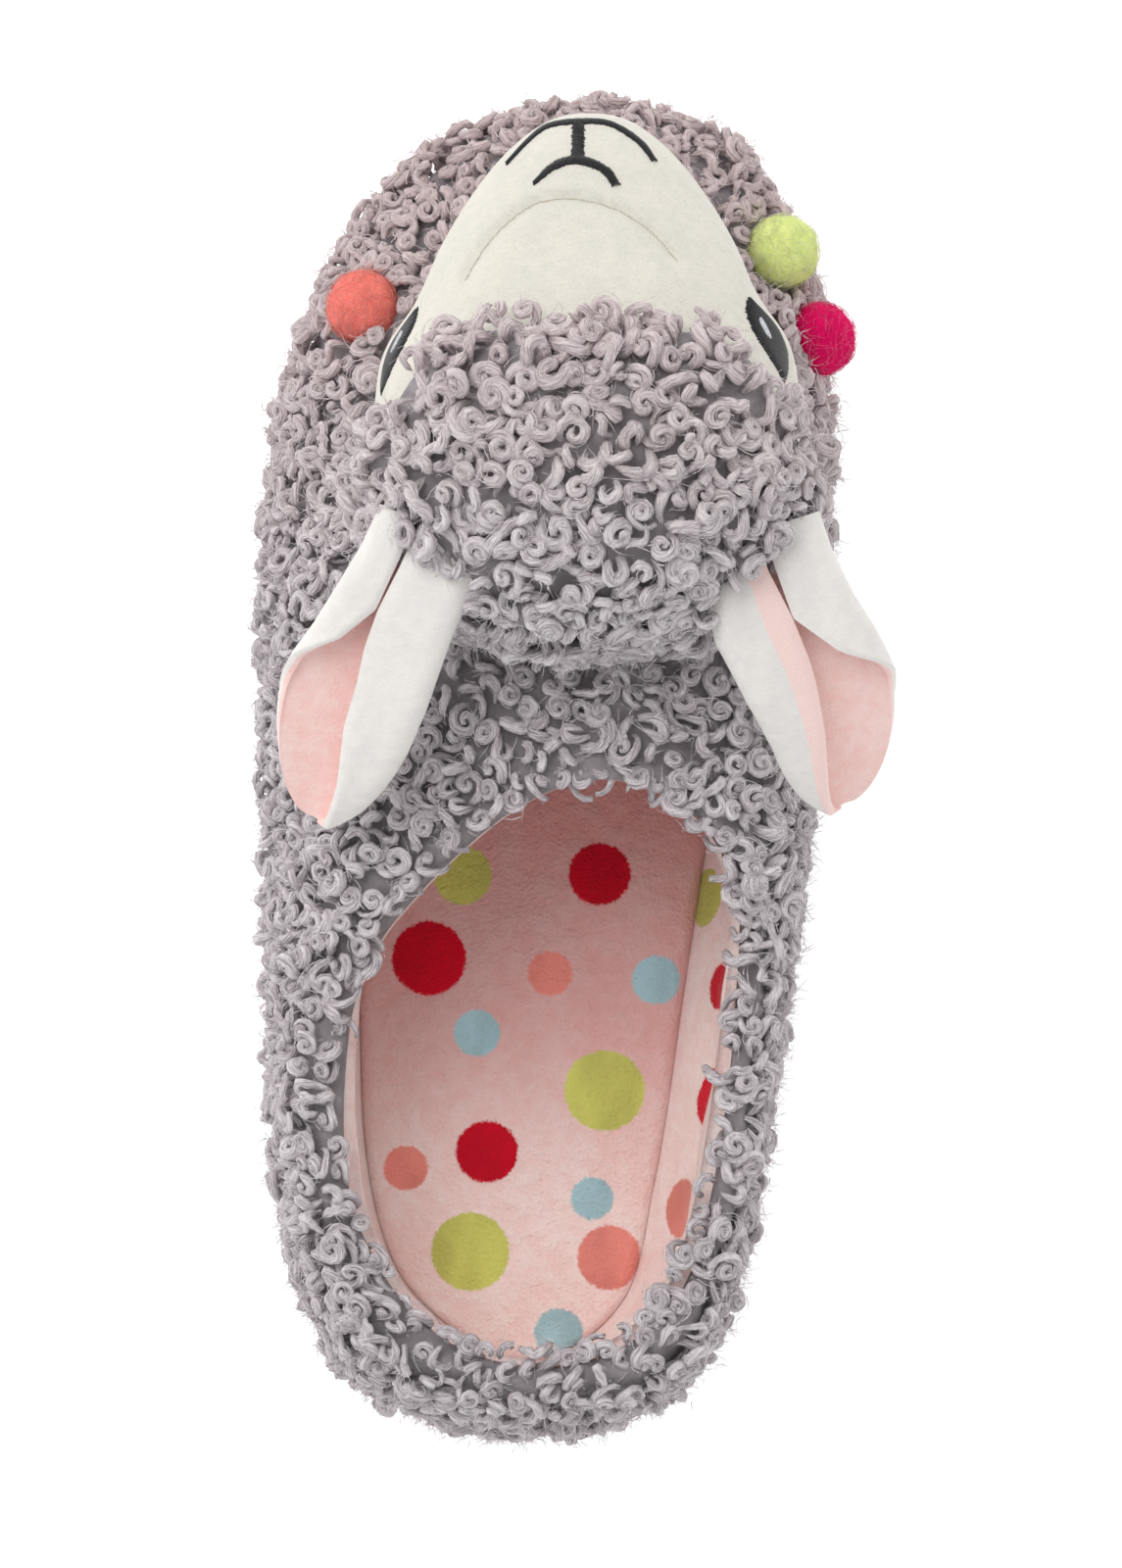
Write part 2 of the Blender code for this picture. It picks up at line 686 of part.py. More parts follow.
def make_ear(name, head):
    """A two-layer ear: a sheet folded lengthwise, its root cut to the head's shape."""
    columns = 2 * (EAR_FLAT + EAR_BEND + EAR_FLAP)

    def sheet_point(i, j, stand):
        share = 1 - (1 - j / EAR_ROWS) ** 1.5
        point, along, across, up = ear_frame(name, share)
        x, y, direction = ear_section(name, share)[i]
        x -= math.sin(direction) * stand
        y += math.cos(direction) * stand
        made = point + across * x + up * y
        if share < 0.25:
            start = made + along * EAR_WIDTH
            hit, _, _, _ = head.ray_cast(start, -along)
            if hit is not None:
                clear = (hit - made).dot(along) + 3 * GAP
                if j == 0 or clear > 0:
                    made = made + along * max(clear, -EAR_ROOT_REACH)
        return made

    half = EAR_THICKNESS / 2
    bm = shell_mesh(
        columns, EAR_ROWS, lambda i, j: sheet_point(i, j, -half), lambda i, j: sheet_point(i, j, half)
    )
    return add_object(name, bm, "white_plush")


def make_eye(name, face):
    """A padded almond of black thread on the side of the face."""
    side, along_head, up_angle = EYES[name]
    angle = math.radians(up_angle if side > 0 else 180 - up_angle)
    row = head_row(along_head)
    centre, out = head_point(row, angle), head_normal(row, angle)
    forward = (head_point(row + 0.1, angle) - head_point(row - 0.1, angle)).normalized()
    rising = out.cross(forward).normalized() * side

    def place(i, j, stand):
        along = 2 * i / EYE_ALONG_FACETS - 1
        across = 2 * j / EYE_ACROSS_FACETS - 1
        width = max(0.04, 1 - abs(along) ** 2.2) * EYE_WIDTH / 2
        flat = centre + forward * along * EYE_LENGTH / 2 + rising * across * width
        hit, normal, _, _ = face.ray_cast(flat + out * EYE_LENGTH, -out)
        dome = (1 - along * along) * (1 - across * across)
        return hit + out * (1.5 * GAP + stand * (0.4 + 0.6 * dome))

    bm = shell_mesh(
        EYE_ALONG_FACETS,
        EYE_ACROSS_FACETS,
        lambda i, j: place(i, j, 0.0),
        lambda i, j: place(i, j, EYE_THICKNESS),
    )
    return add_object(name, bm, "black_thread")


def make_pompom(name, finish):
    """A felted ball that rests on the wall."""
    where, rise = POMPOM_SEATS[name]
    radius = POMPOM_DIAMETER / 2
    seat = Vector(wall_point(where, rise)) + Vector(wall_normal(where, rise)) * (radius + GAP)
    bm = bmesh.new()
    bmesh.ops.create_icosphere(bm, subdivisions=3, radius=radius - POMPOM_LUMPS)
    for vert in bm.verts:
        lump = noise.noise(Vector(vert.co) * (2 / radius) + seat * 40) * POMPOM_LUMPS
        vert.co = seat + vert.co.normalized() * (vert.co.length + lump)
    return add_object(name, bm, finish)


def nearest_room(trees, clear):
    """A function for how far locks may stand out at a point and stay clear of the trees."""

    def room(point):
        distance = min(tree.find_nearest(Vector(point))[3] for tree in trees)
        return max(0.0, (distance - clear) * 0.8)

    return room


def lowest_above(trees):
    """A function for the height of the first thing over a point, counted from a little under it."""

    def height(point):
        start = Vector(point) - Vector((0, 0, POMPOM_DIAMETER))
        hits = [tree.ray_cast(start, Vector((0, 0, 1)))[0] for tree in trees]
        return min((hit.z for hit in hits if hit is not None), default=1.0)

    return height


def main():
    clear_scene()
    slab("outsole", lambda where: TUCK, 0.0, SOLE_THICKNESS, SOLE_EDGE, "sole_cloth")
    low = SOLE_THICKNESS + GAP
    high = low + INSOLE_THICKNESS
    slab("insole", lambda where: lining_inset(where, high) + 2 * GAP, low, high, INSOLE_EDGE, "spotted_plush")
    wall = smooth_wall()
    spot = head_grid(wall)
    face = tree_of(make_face(wall, spot))
    for name in EYES:
        make_eye(name, face)
    stand = GAP + CROWN_THICKNESS
    bm = grid_mesh(CROWN_COLUMNS, CROWN_ROWS, lambda i, j: off_head(*spot(i, j), stand))
    bare = BVHTree.FromBMesh(bm)
    bm.free()
    ears = [tree_of(make_ear(name, bare)) for name in EARS]
    pompoms = [tree_of(make_pompom(name, name.split("_")[1] + "_felt")) for name in POMPOM_SEATS]
    crown = tree_of(make_crown(spot, nearest_room(ears, CROWN_LOCK_GAP)))
    near = nearest_room([face, crown, *ears, *pompoms], LOCK_GAP)
    add_object("upper", upper_mesh(near, lowest_above([face, crown])), "curly_plush")


main()
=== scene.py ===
"""Looks of a curly plush slipper with a stuffed llama head, seen from above.

Every length is in metres. +Y runs to the toe, +X to the inner side of the foot and +Z up.
"""

import logging
import math
from dataclasses import dataclass, field
from enum import Enum
from typing import Callable, Iterable, Sequence

import bmesh
import bpy
import numpy as np
from mathutils import Matrix, Vector, noise
from mathutils.bvhtree import BVHTree

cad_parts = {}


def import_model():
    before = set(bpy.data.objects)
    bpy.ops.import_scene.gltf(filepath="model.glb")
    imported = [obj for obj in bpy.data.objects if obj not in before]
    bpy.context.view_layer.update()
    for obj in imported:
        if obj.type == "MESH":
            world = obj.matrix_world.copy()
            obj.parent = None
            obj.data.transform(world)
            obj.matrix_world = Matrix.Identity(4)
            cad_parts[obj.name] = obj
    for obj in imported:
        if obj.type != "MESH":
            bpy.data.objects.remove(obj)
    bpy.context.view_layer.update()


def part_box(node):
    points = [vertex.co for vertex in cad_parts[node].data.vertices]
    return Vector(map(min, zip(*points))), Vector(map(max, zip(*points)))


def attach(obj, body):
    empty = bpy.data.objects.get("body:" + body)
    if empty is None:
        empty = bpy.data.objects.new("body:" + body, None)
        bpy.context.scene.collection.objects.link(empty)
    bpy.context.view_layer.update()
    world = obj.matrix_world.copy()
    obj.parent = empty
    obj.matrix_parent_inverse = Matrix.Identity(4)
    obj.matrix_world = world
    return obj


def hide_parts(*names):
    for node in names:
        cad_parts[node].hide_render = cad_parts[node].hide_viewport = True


LOG = logging.getLogger("slipper")
MM = 0.001

Place = Callable[[int, int], Sequence[float]]


def linear(hex_colour: str) -> tuple[float, float, float, float]:
    """Turns an sRGB hex colour into the linear colour that shaders read.

    Args:
        hex_colour: six hex digits, with or without a leading hash.

    Returns:
        Red, green, blue and alpha.
    """
    digits = hex_colour.lstrip("#")
    parts = [int(digits[k : k + 2], 16) / 255 for k in (0, 2, 4)]
    made = [c / 12.92 if c <= 0.04045 else ((c + 0.055) / 1.055) ** 2.4 for c in parts]
    return (made[0], made[1], made[2], 1.0)


def mix(low, high, share):
    """Returns the value a share of the way from low to high, for numbers or arrays."""
    return low + (high - low) * share


def smooth(low: float, high: float, value):
    """Returns 0 below low, 1 above high and a soft step between, for numbers or arrays."""
    share = np.clip((value - low) / (high - low), 0.0, 1.0)
    return share * share * (3 - 2 * share)


def hermite(before, start, end, after, spans, share):
    """Returns a point of the smooth curve from start to end.

    Args:
        before, start, end, after: four neighbouring knots, as arrays.
        spans: the three distances between them.
        share: how far from start to end.
    """
    first, middle, last = spans
    leave = (end - before) * (middle / (first + middle))
    arrive = (after - start) * (middle / (middle + last))
    s2, s3 = share * share, share**3
    return start * (2 * s3 - 3 * s2 + 1) + leave * (s3 - 2 * s2 + share) + end * (3 * s2 - 2 * s3) + arrive * (s3 - s2)


class ClosedCurve:
    """A smooth closed curve through knots, read at knot numbers with fractions."""

    def __init__(self, knots: Sequence[Sequence[float]]) -> None:
        self.knots = np.array(knots, float)
        steps = np.roll(self.knots, -1, axis=0) - self.knots
        self.spans = np.maximum(np.linalg.norm(steps[:, :2], axis=1), 2e-5)

    def __call__(self, where) -> np.ndarray:
        where = np.asarray(where, float)
        count = len(self.knots)
        base = np.floor(where).astype(int)
        points = [self.knots[(base + k) % count] for k in (-1, 0, 1, 2)]
        spans = [self.spans[(base + k) % count][..., None] for k in (-1, 0, 1)]
        return hermite(*points, spans, (where - base)[..., None])


class Table:
    """A table's columns as smooth functions of the row number; past its ends it mirrors."""

    def __init__(self, columns: Sequence[str], rows: Sequence[Sequence[float]], odd: Sequence[str] = ()) -> None:
        self.rows = np.array(rows, float)
        self.index = {name: k for k, name in enumerate(columns)}
        self.sign = {name: -1.0 if name in odd else 1.0 for name in columns}
        self.last = len(rows) - 1

    def __call__(self, name: str, where) -> np.ndarray:
        column = self.rows[:, self.index[name]]
        where = np.asarray(where, float)
        base = np.minimum(np.floor(where).astype(int), self.last - 1)

        def value(k):
            inside = np.clip(k, 0, self.last)
            mirrored = np.where(k < 0, -k, np.where(k > self.last, 2 * self.last - k, inside))
            return column[mirrored] * np.where((k < 0) | (k > self.last), self.sign[name], 1.0)

        return hermite(*(value(base + k) for k in (-1, 0, 1, 2)), (1, 1, 1), where - base)

    def row_at(self, name: str, value):
        """Returns the row number where a rising column has that value."""
        fine = np.linspace(0, self.last, 600)
        return np.interp(value, self(name, fine), fine)


# The slipper's outline and collar, one row for each station from heel to toe: shares of the length
# and of the ball width. rise goes from the heel's topline at 0 to the instep's at 1.
OUTLINE_COLUMNS = ("station", "lateral", "medial", "lat_in_x", "lat_in_y", "med_in_x", "med_in_y", "rise")
OUTLINE_ROWS = (
    (0.000, -0.005, -0.005, 0.015, 0.041, 0.015, 0.041, 0.04),
    (0.026, -0.205, 0.180, -0.154, 0.055, 0.180, 0.057, 0.04),
    (0.080, -0.362, 0.313, -0.292, 0.102, 0.298, 0.100, 0.02),
    (0.170, -0.448, 0.372, -0.379, 0.174, 0.352, 0.170, 0.00),
    (0.322, -0.487, 0.415, -0.390, 0.295, 0.388, 0.303, 0.02),
    (0.498, -0.523, 0.458, -0.344, 0.357, 0.396, 0.381, 0.20),
    (0.674, -0.545, 0.460, -0.267, 0.398, 0.370, 0.422, 0.45),
    (0.810, -0.507, 0.458, -0.185, 0.432, 0.318, 0.455, 0.68),
    (0.904, -0.392, 0.408, -0.092, 0.463, 0.243, 0.479, 0.86),
    (0.971, -0.205, 0.270, 0.005, 0.484, 0.172, 0.489, 0.96),
    (1.000, 0.036, 0.036, 0.090, 0.492, 0.090, 0.492, 1.00),
)
TOE_KNOT = len(OUTLINE_ROWS) - 1


@dataclass(frozen=True)
class WallSizes:
    """Sizes of the padded wall over its cloth, without curls."""

    ball_width: float = 97.5 * MM
    heel_height: float = 53 * MM
    instep_height: float = 73 * MM
    at_sole: float = 5.0 * MM
    at_topline: float = 3.5 * MM
    tuck: float = 3.0 * MM
    tuck_height: float = 20 * MM
    foot: float = 7.3 * MM
    toe_spring: float = 3.0 * MM
    spring_start: float = 0.62
    side_power: float = 2.3
    toe_power: float = 1.3
    height_power: float = 2.2
    side_lean: float = 0.55
    lean_power: float = 1.4


class Wall:
    """The slipper's wall as a function of the place round it and of the rise from sole to collar."""

    def __init__(self, length: float, sizes: WallSizes) -> None:
        self.length = length
        self.sizes = sizes
        table = [dict(zip(OUTLINE_COLUMNS, row)) for row in OUTLINE_ROWS]
        sides = [("medial", "med_in", row) for row in table] + [("lateral", "lat_in", row) for row in table[-2:0:-1]]
        edge, collar = [], []
        for across, inner, row in sides:
            edge.append((row[across] * sizes.ball_width, (row["station"] - 0.5) * length))
            height = mix(sizes.heel_height, sizes.instep_height, row["rise"])
            collar.append((row[inner + "_x"] * sizes.ball_width, (row[inner + "_y"] - 0.5) * length, height))
        self.edge = ClosedCurve(edge)
        self.collar = ClosedCurve(collar)
        self.count = len(edge)

    def spring(self, y):
        """How far the toe lifts everything at this y."""
        start = (self.sizes.spring_start - 0.5) * self.length
        share = np.clip((y - start) / (self.length / 2 - start), 0.0, None)
        return self.sizes.toe_spring * share * share

    def outward(self, where) -> np.ndarray:
        """The outline's outward direction in plan."""
        step = self.edge(np.asarray(where) + 0.02) - self.edge(np.asarray(where) - 0.02)
        step = step / np.linalg.norm(step, axis=-1, keepdims=True)
        return np.stack([step[..., 1], -step[..., 0]], axis=-1)

    def even_places(self, count: int) -> np.ndarray:
        """Knot numbers of points spread evenly round the outline."""
        fine = np.linspace(0, self.count, 40 * self.count + 1)
        points = self.edge(fine)
        run = np.concatenate([[0], np.cumsum(np.linalg.norm(np.diff(points, axis=0), axis=1))])
        return np.interp(np.linspace(0, run[-1], count, endpoint=False), run, fine)

    def outer(self, where, rise) -> np.ndarray:
        """The wall's outer face: rise is 0 at the sole and 1 at the collar, counted as an angle."""
        s = self.sizes
        where, rise = np.broadcast_arrays(np.asarray(where, float), np.asarray(rise, float))
        front = 1.0 - smooth(2.2, 5.2, np.abs(where - TOE_KNOT))
        angle = np.clip(rise, 0.0, 1.0) * math.pi / 2
        height = np.sin(angle) ** (2 / s.height_power)
        power = mix(s.side_power, s.toe_power, front)
        lean = mix(s.side_lean, 0.0, front)
        inward = (1 - lean) * (1 - np.clip(np.cos(angle), 0.0, None) ** (2 / power)) + lean * height**s.lean_power
        edge, collar = self.edge(where), self.collar(where)
        plan = edge + (collar[..., :2] - edge) * inward[..., None]
        z = s.foot + (collar[..., 2] - s.foot) * height
        low = np.clip(1 - (z - s.foot) / s.tuck_height, 0.0, None)
        plan = plan - self.outward(where) * (s.tuck * low * low)[..., None]
        return np.concatenate([plan, (z + self.spring(plan[..., 1]))[..., None]], axis=-1)

    def normal(self, where, rise) -> np.ndarray:
        """The wall's outward direction."""
        where, rise = np.broadcast_arrays(np.asarray(where, float), np.asarray(rise, float))
        low, high = np.clip(rise - 0.01, 0, 1), np.clip(rise + 0.01, 0, 1)
        round_it = self.outer(where + 0.01, rise) - self.outer(where - 0.01, rise)
        made = np.cross(round_it, self.outer(where, high) - self.outer(where, low))
        return made / np.linalg.norm(made, axis=-1, keepdims=True)

    def inner(self, where, rise) -> np.ndarray:
        """The wall's lined face."""
        where, rise = np.broadcast_arrays(np.asarray(where, float), np.asarray(rise, float))
        thickness = mix(self.sizes.at_sole, self.sizes.at_topline, rise)
        made = self.outer(where, rise) - self.normal(where, rise) * thickness[..., None]
        made[..., 2] = np.maximum(made[..., 2], self.sizes.foot + self.spring(made[..., 1]))
        return made


HEAD_COLUMNS = ("along", "half", "top", "broad")
HEAD_SECTIONS = (
    (0.00, 0.00, 0.50, 0.50),
    (0.02, 0.38, 0.68, 0.48),
    (0.08, 0.69, 0.84, 0.45),
    (0.18, 0.90, 0.96, 0.43),
    (0.34, 1.00, 1.00, 0.42),
    (0.48, 0.945, 0.96, 0.40),
    (0.60, 0.81, 0.83, 0.36),
    (0.72, 0.705, 0.65, 0.27),
    (0.83, 0.555, 0.48, 0.18),
    (0.92, 0.385, 0.33, 0.09),
    (0.98, 0.20, 0.17, 0.03),
    (1.00, 0.00, 0.00, 0.00),
)
# The crown's front edge: a share of the head's length by the angle up from the head's widest line.
CROWN_EDGE = (
    (-50.0, 0.12),
    (-20.0, 0.19),
    (0.0, 0.26),
    (15.0, 0.33),
    (32.0, 0.40),
    (44.0, 0.51),
    (60.0, 0.545),
    (90.0, 0.545),
)


@dataclass(frozen=True)
class HeadSizes:
    """Sizes and place of the stuffed head."""

    length: float = 102 * MM
    width: float = 82 * MM
    height: float = 66 * MM
    base: float = 50 * MM
    overhang: float = 0.3 * MM
    shift: float = 0.6 * MM
    turn: float = math.radians(2.3)
    top_power: float = 2.35
    under_power: float = 2.6
    under_depth: float = 30 * MM
    seat: float = 0.9 * MM
    crown: float = 2.3 * MM


class Head:
    """The stuffed head as a function of the row from back to nose and of the angle round it."""

    def __init__(self, nose_y: float, sizes: HeadSizes) -> None:
        self.sizes = sizes
        self.nose_y = nose_y
        self.table = Table(HEAD_COLUMNS, HEAD_SECTIONS, odd=("half",))

    def row(self, along):
        """The row number at a share of the head's length."""
        return self.table.row_at("along", along)

    def point(self, row, angle) -> np.ndarray:
        """A point of the surface: angle is 0 at the inner side and a quarter turn at the top."""
        s = self.sizes
        row, angle = np.broadcast_arrays(np.asarray(row, float), np.asarray(angle, float))
        along = self.table("along", row) * s.length
        half = np.clip(self.table("half", row), 0, None) * s.width / 2
        top = s.base + self.table("top", row) * s.height
        broad = s.base + self.table("broad", row) * s.height
        cos, sin = np.cos(angle), np.sin(angle)
        upper = sin >= 0
        power = np.where(upper, 2 / s.top_power, 2 / s.under_power)
        across = half * np.sign(cos) * np.abs(cos) ** power
        fullness = np.clip(half / (0.3 * s.width), None, 1.0)
        rise = np.where(upper, top - broad, s.under_depth * fullness) * np.sign(sin) * np.abs(sin) ** power
        back = along - s.length
        x = s.shift + across * math.cos(s.turn) - back * math.sin(s.turn)
        y = self.nose_y + across * math.sin(s.turn) + back * math.cos(s.turn)
        return np.stack([x, y, broad + rise], axis=-1)

    def normal(self, row, angle) -> np.ndarray:
        """The head's outward direction."""
        row, angle = np.broadcast_arrays(np.asarray(row, float), np.asarray(angle, float))
        last = self.table.last
        forward = self.point(np.clip(row + 0.02, 0, last), angle) - self.point(np.clip(row - 0.02, 0, last), angle)
        made = np.cross(forward, self.point(row, angle + 0.02) - self.point(row, angle - 0.02))
        return made / np.maximum(np.linalg.norm(made, axis=-1, keepdims=True), 1e-12)

    def off(self, row, angle, stand) -> np.ndarray:
        """A point that far off the surface."""
        return self.point(row, angle) + self.normal(row, angle) * np.asarray(stand)[..., None]

    def crown_edge(self, angle):
        """How far forward the crown reaches, as a row number."""
        up = 90 - np.abs((np.degrees(angle) + 90) % 360 - 180)
        angles, shares = zip(*CROWN_EDGE)
        return self.row(np.interp(up, angles, shares))


# Each ear: side, root on the head, the way to its tip in shares of its length, arch and roll.
EAR_COLUMNS = ("side", "along", "angle", "back", "out", "drop", "arch", "turn")
EARS = {
    "ear_lateral": (-1, 0.130, 33.0, 0.86, 0.32, 0.44, 0.10, 4.0),
    "ear_medial": (1, 0.130, 21.0, 0.78, 0.29, 0.44, 0.10, 8.0),
}
# Sections along an ear: flat width, bend in degrees and flap of each side, as shares of its width.
EAR_SECTIONS = {
    "ear_lateral": (
        (0.00, 0.18, 165.0, 0.25, 0.22, 165.0, 0.10),
        (0.20, 0.18, 165.0, 0.27, 0.26, 165.0, 0.13),
        (0.33, 0.19, 165.0, 0.27, 0.29, 150.0, 0.08),
        (0.45, 0.20, 165.0, 0.25, 0.33, 95.0, 0.02),
        (0.60, 0.20, 165.0, 0.23, 0.355, 35.0, 0.01),
        (0.80, 0.19, 165.0, 0.15, 0.35, 15.0, 0.01),
        (1.00, 0.18, 165.0, 0.12, 0.34, 10.0, 0.01),
    ),
    "ear_medial": (
        (0.00, 0.235, 165.0, 0.20, 0.235, 165.0, 0.20),
        (0.20, 0.27, 165.0, 0.28, 0.275, 165.0, 0.23),
        (0.36, 0.23, 165.0, 0.26, 0.33, 150.0, 0.15),
        (0.45, 0.21, 165.0, 0.24, 0.35, 120.0, 0.05),
        (0.55, 0.18, 160.0, 0.20, 0.365, 60.0, 0.01),
        (0.65, 0.16, 155.0, 0.17, 0.37, 30.0, 0.01),
        (0.84, 0.17, 150.0, 0.14, 0.37, 20.0, 0.01),
        (1.00, 0.17, 150.0, 0.12, 0.36, 15.0, 0.01),
    ),
}


@dataclass(frozen=True)
class EarSizes:
    """Sizes of a two-layer ear folded lengthwise."""

    length: float = 57 * MM
    width: float = 41 * MM
    thickness: float = 2.2 * MM
    fold_radius: float = 2.6 * MM
    tip_rounding: float = 0.45
    tip_shift: float = 0.25
    fold_hold: float = 0.35
    fold_least: float = 0.5
    cup: float = math.radians(14)
    root_reach: float = 7 * MM


class Ear:
    """One ear as a function of the column across it and of the share along it."""

    flat, bend, flap = 8, 8, 7

    def __init__(self, name: str, head: Head, sizes: EarSizes) -> None:
        self.name = name
        self.sizes = sizes
        self.place = dict(zip(EAR_COLUMNS, EARS[name]))
        side = self.place["side"]
        up_angle = math.radians(self.place["angle"])
        angle = up_angle if side > 0 else math.pi - up_angle
        row = head.row(self.place["along"])
        self.root = Vector(head.off(row, angle, head.sizes.crown))
        reach = Vector((side * self.place["out"], -self.place["back"], -self.place["drop"]))
        self.reach = reach * sizes.length
        self.arch = Vector((0, 0, 4 * self.place["arch"] * sizes.length))

    @property
    def columns(self) -> int:
        """Faces across the sheet."""
        return 2 * (self.flat + self.bend + self.flap)

    def frame(self, share: float) -> tuple[Vector, Vector, Vector, Vector]:
        """A point on the spine with its directions along, across and up."""
        side = self.place["side"]
        point = self.root + self.reach * share + self.arch * share * (1 - share)
        along = (self.reach + self.arch * (1 - 2 * share)).normalized()
        across = (Vector((0, 0, 1)).cross(along) * side).normalized()
        up = across.cross(along)
        if up.z < 0:
            up = -up
        turn = math.radians(self.place["turn"])
        turned = across * math.cos(turn) - up * math.sin(turn)
        return point, along, turned, up * math.cos(turn) + across * math.sin(turn)

    def section(self, share: float) -> list[tuple[float, float, float]]:
        """The sheet's middle line: across, up and the direction of the sheet at each column."""
        s = self.sizes
        rows = EAR_SECTIONS[self.name]
        table = [float(np.interp(share, [r[0] for r in rows], [r[c] for r in rows])) for c in range(1, 7)]
        tip = max(0.0, (share - 1 + s.tip_rounding) / s.tip_rounding)
        scale = max(0.10, math.sqrt(max(0.0, 1 - tip * tip)))
        shift = (table[3] - table[0]) * s.width * s.tip_shift * (1 - scale)
        sides = []
        for flat, bend, flap in (table[:3], table[3:]):
            turn = math.radians(bend) * scale**s.fold_hold
            lengths = [flat * s.width * scale / self.flat] * self.flat
            lengths += [max(turn, 0.1) * s.fold_radius * max(scale, s.fold_least) / self.bend] * self.bend
            lengths += [flap * s.width * scale / self.flap] * self.flap
            turns = [s.cup / self.flat] * self.flat + [turn / self.bend] * self.bend + [0.0] * self.flap
            across = up = direction = 0.0
            line = []
            for length, step in zip(lengths, turns):
                across += length * math.cos(direction + step / 2)
                up += length * math.sin(direction + step / 2)
                direction += step
                line.append((across, up, direction))
            sides.append(line)
        inner, outer = sides
        line = [(-x, y, -d) for x, y, d in reversed(inner)] + [(0.0, 0.0, 0.0)] + outer
        return [(x + shift, y, d) for x, y, d in line]

    def point(self, column: int, share: float, stand: float, head_tree: BVHTree) -> Vector:
        """A point that far above the sheet's middle, with the root cut to the head."""
        spine, along, across, up = self.frame(share)
        x, y, direction = self.section(share)[column]
        x -= math.sin(direction) * stand
        y += math.cos(direction) * stand
        made = spine + across * x + up * y
        if share < 0.25:
            hit, _, _, _ = head_tree.ray_cast(made + along * self.sizes.width, -along)
            if hit is not None:
                clear = (hit - made).dot(along) + 0.9 * MM
                if share == 0 or clear > 0:
                    made = made + along * max(clear, -self.sizes.root_reach)
        return made


class MeshMaker:
    """Turns bmeshes and joined arrays into finished pieces of the slipper."""

    @staticmethod
    def grid(points: np.ndarray, weld: float = 0.00001) -> bmesh.types.BMesh:
        """A grid of faces through points, an array of columns by rows by three."""
        columns, rows = points.shape[0] - 1, points.shape[1] - 1
        bm = bmesh.new()
        bmesh.ops.create_grid(bm, x_segments=columns, y_segments=rows, size=0.5)
        for vert in bm.verts:
            i = round((vert.co.x + 0.5) * columns)
            j = round((vert.co.y + 0.5) * rows)
            vert.co = points[i, j]
        if weld:
            bmesh.ops.remove_doubles(bm, verts=bm.verts, dist=weld)
            bmesh.ops.dissolve_degenerate(bm, dist=weld, edges=bm.edges)
        return bm

    @staticmethod
    def piece(
        name: str,
        bm: bmesh.types.BMesh,
        finish: bpy.types.Material,
        slot: str,
        stands_for: Iterable[str] = (),
        recalculate: bool = True,
    ) -> bpy.types.Object:
        """slot: a material slot name; not used.

        Args:
            name: the piece's name.
            bm: its mesh, which is freed.
            finish: its material.
            slot: the record's material slot.
            stands_for: the solids that it replaces.
            recalculate: whether the faces are turned to point out.
        """
        if recalculate:
            bmesh.ops.recalc_face_normals(bm, faces=bm.faces)
        mesh = bpy.data.meshes.new(name)
        bm.to_mesh(mesh)
        bm.free()
        return MeshMaker.add(name, mesh, finish, slot, stands_for)

    @staticmethod
    def add(
        name: str, mesh: bpy.types.Mesh, finish: bpy.types.Material, slot: str, stands_for: Iterable[str] = ()
    ) -> bpy.types.Object:
        """Links a mesh as a smooth piece that rides on the slipper."""
        mesh.shade_smooth()
        mesh.materials.append(finish)
        piece = bpy.data.objects.new(name, mesh)
        bpy.context.scene.collection.objects.link(piece)
        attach(piece, "root")
        if stands_for:
            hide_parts(*stands_for)
        LOG.info("%s: %d faces", name, len(mesh.polygons))
        return piece

    @staticmethod
    def tree(bm: bmesh.types.BMesh) -> BVHTree:
        """A search tree of a bmesh, which is freed."""
        made = BVHTree.FromBMesh(bm)
        bm.free()
        return made


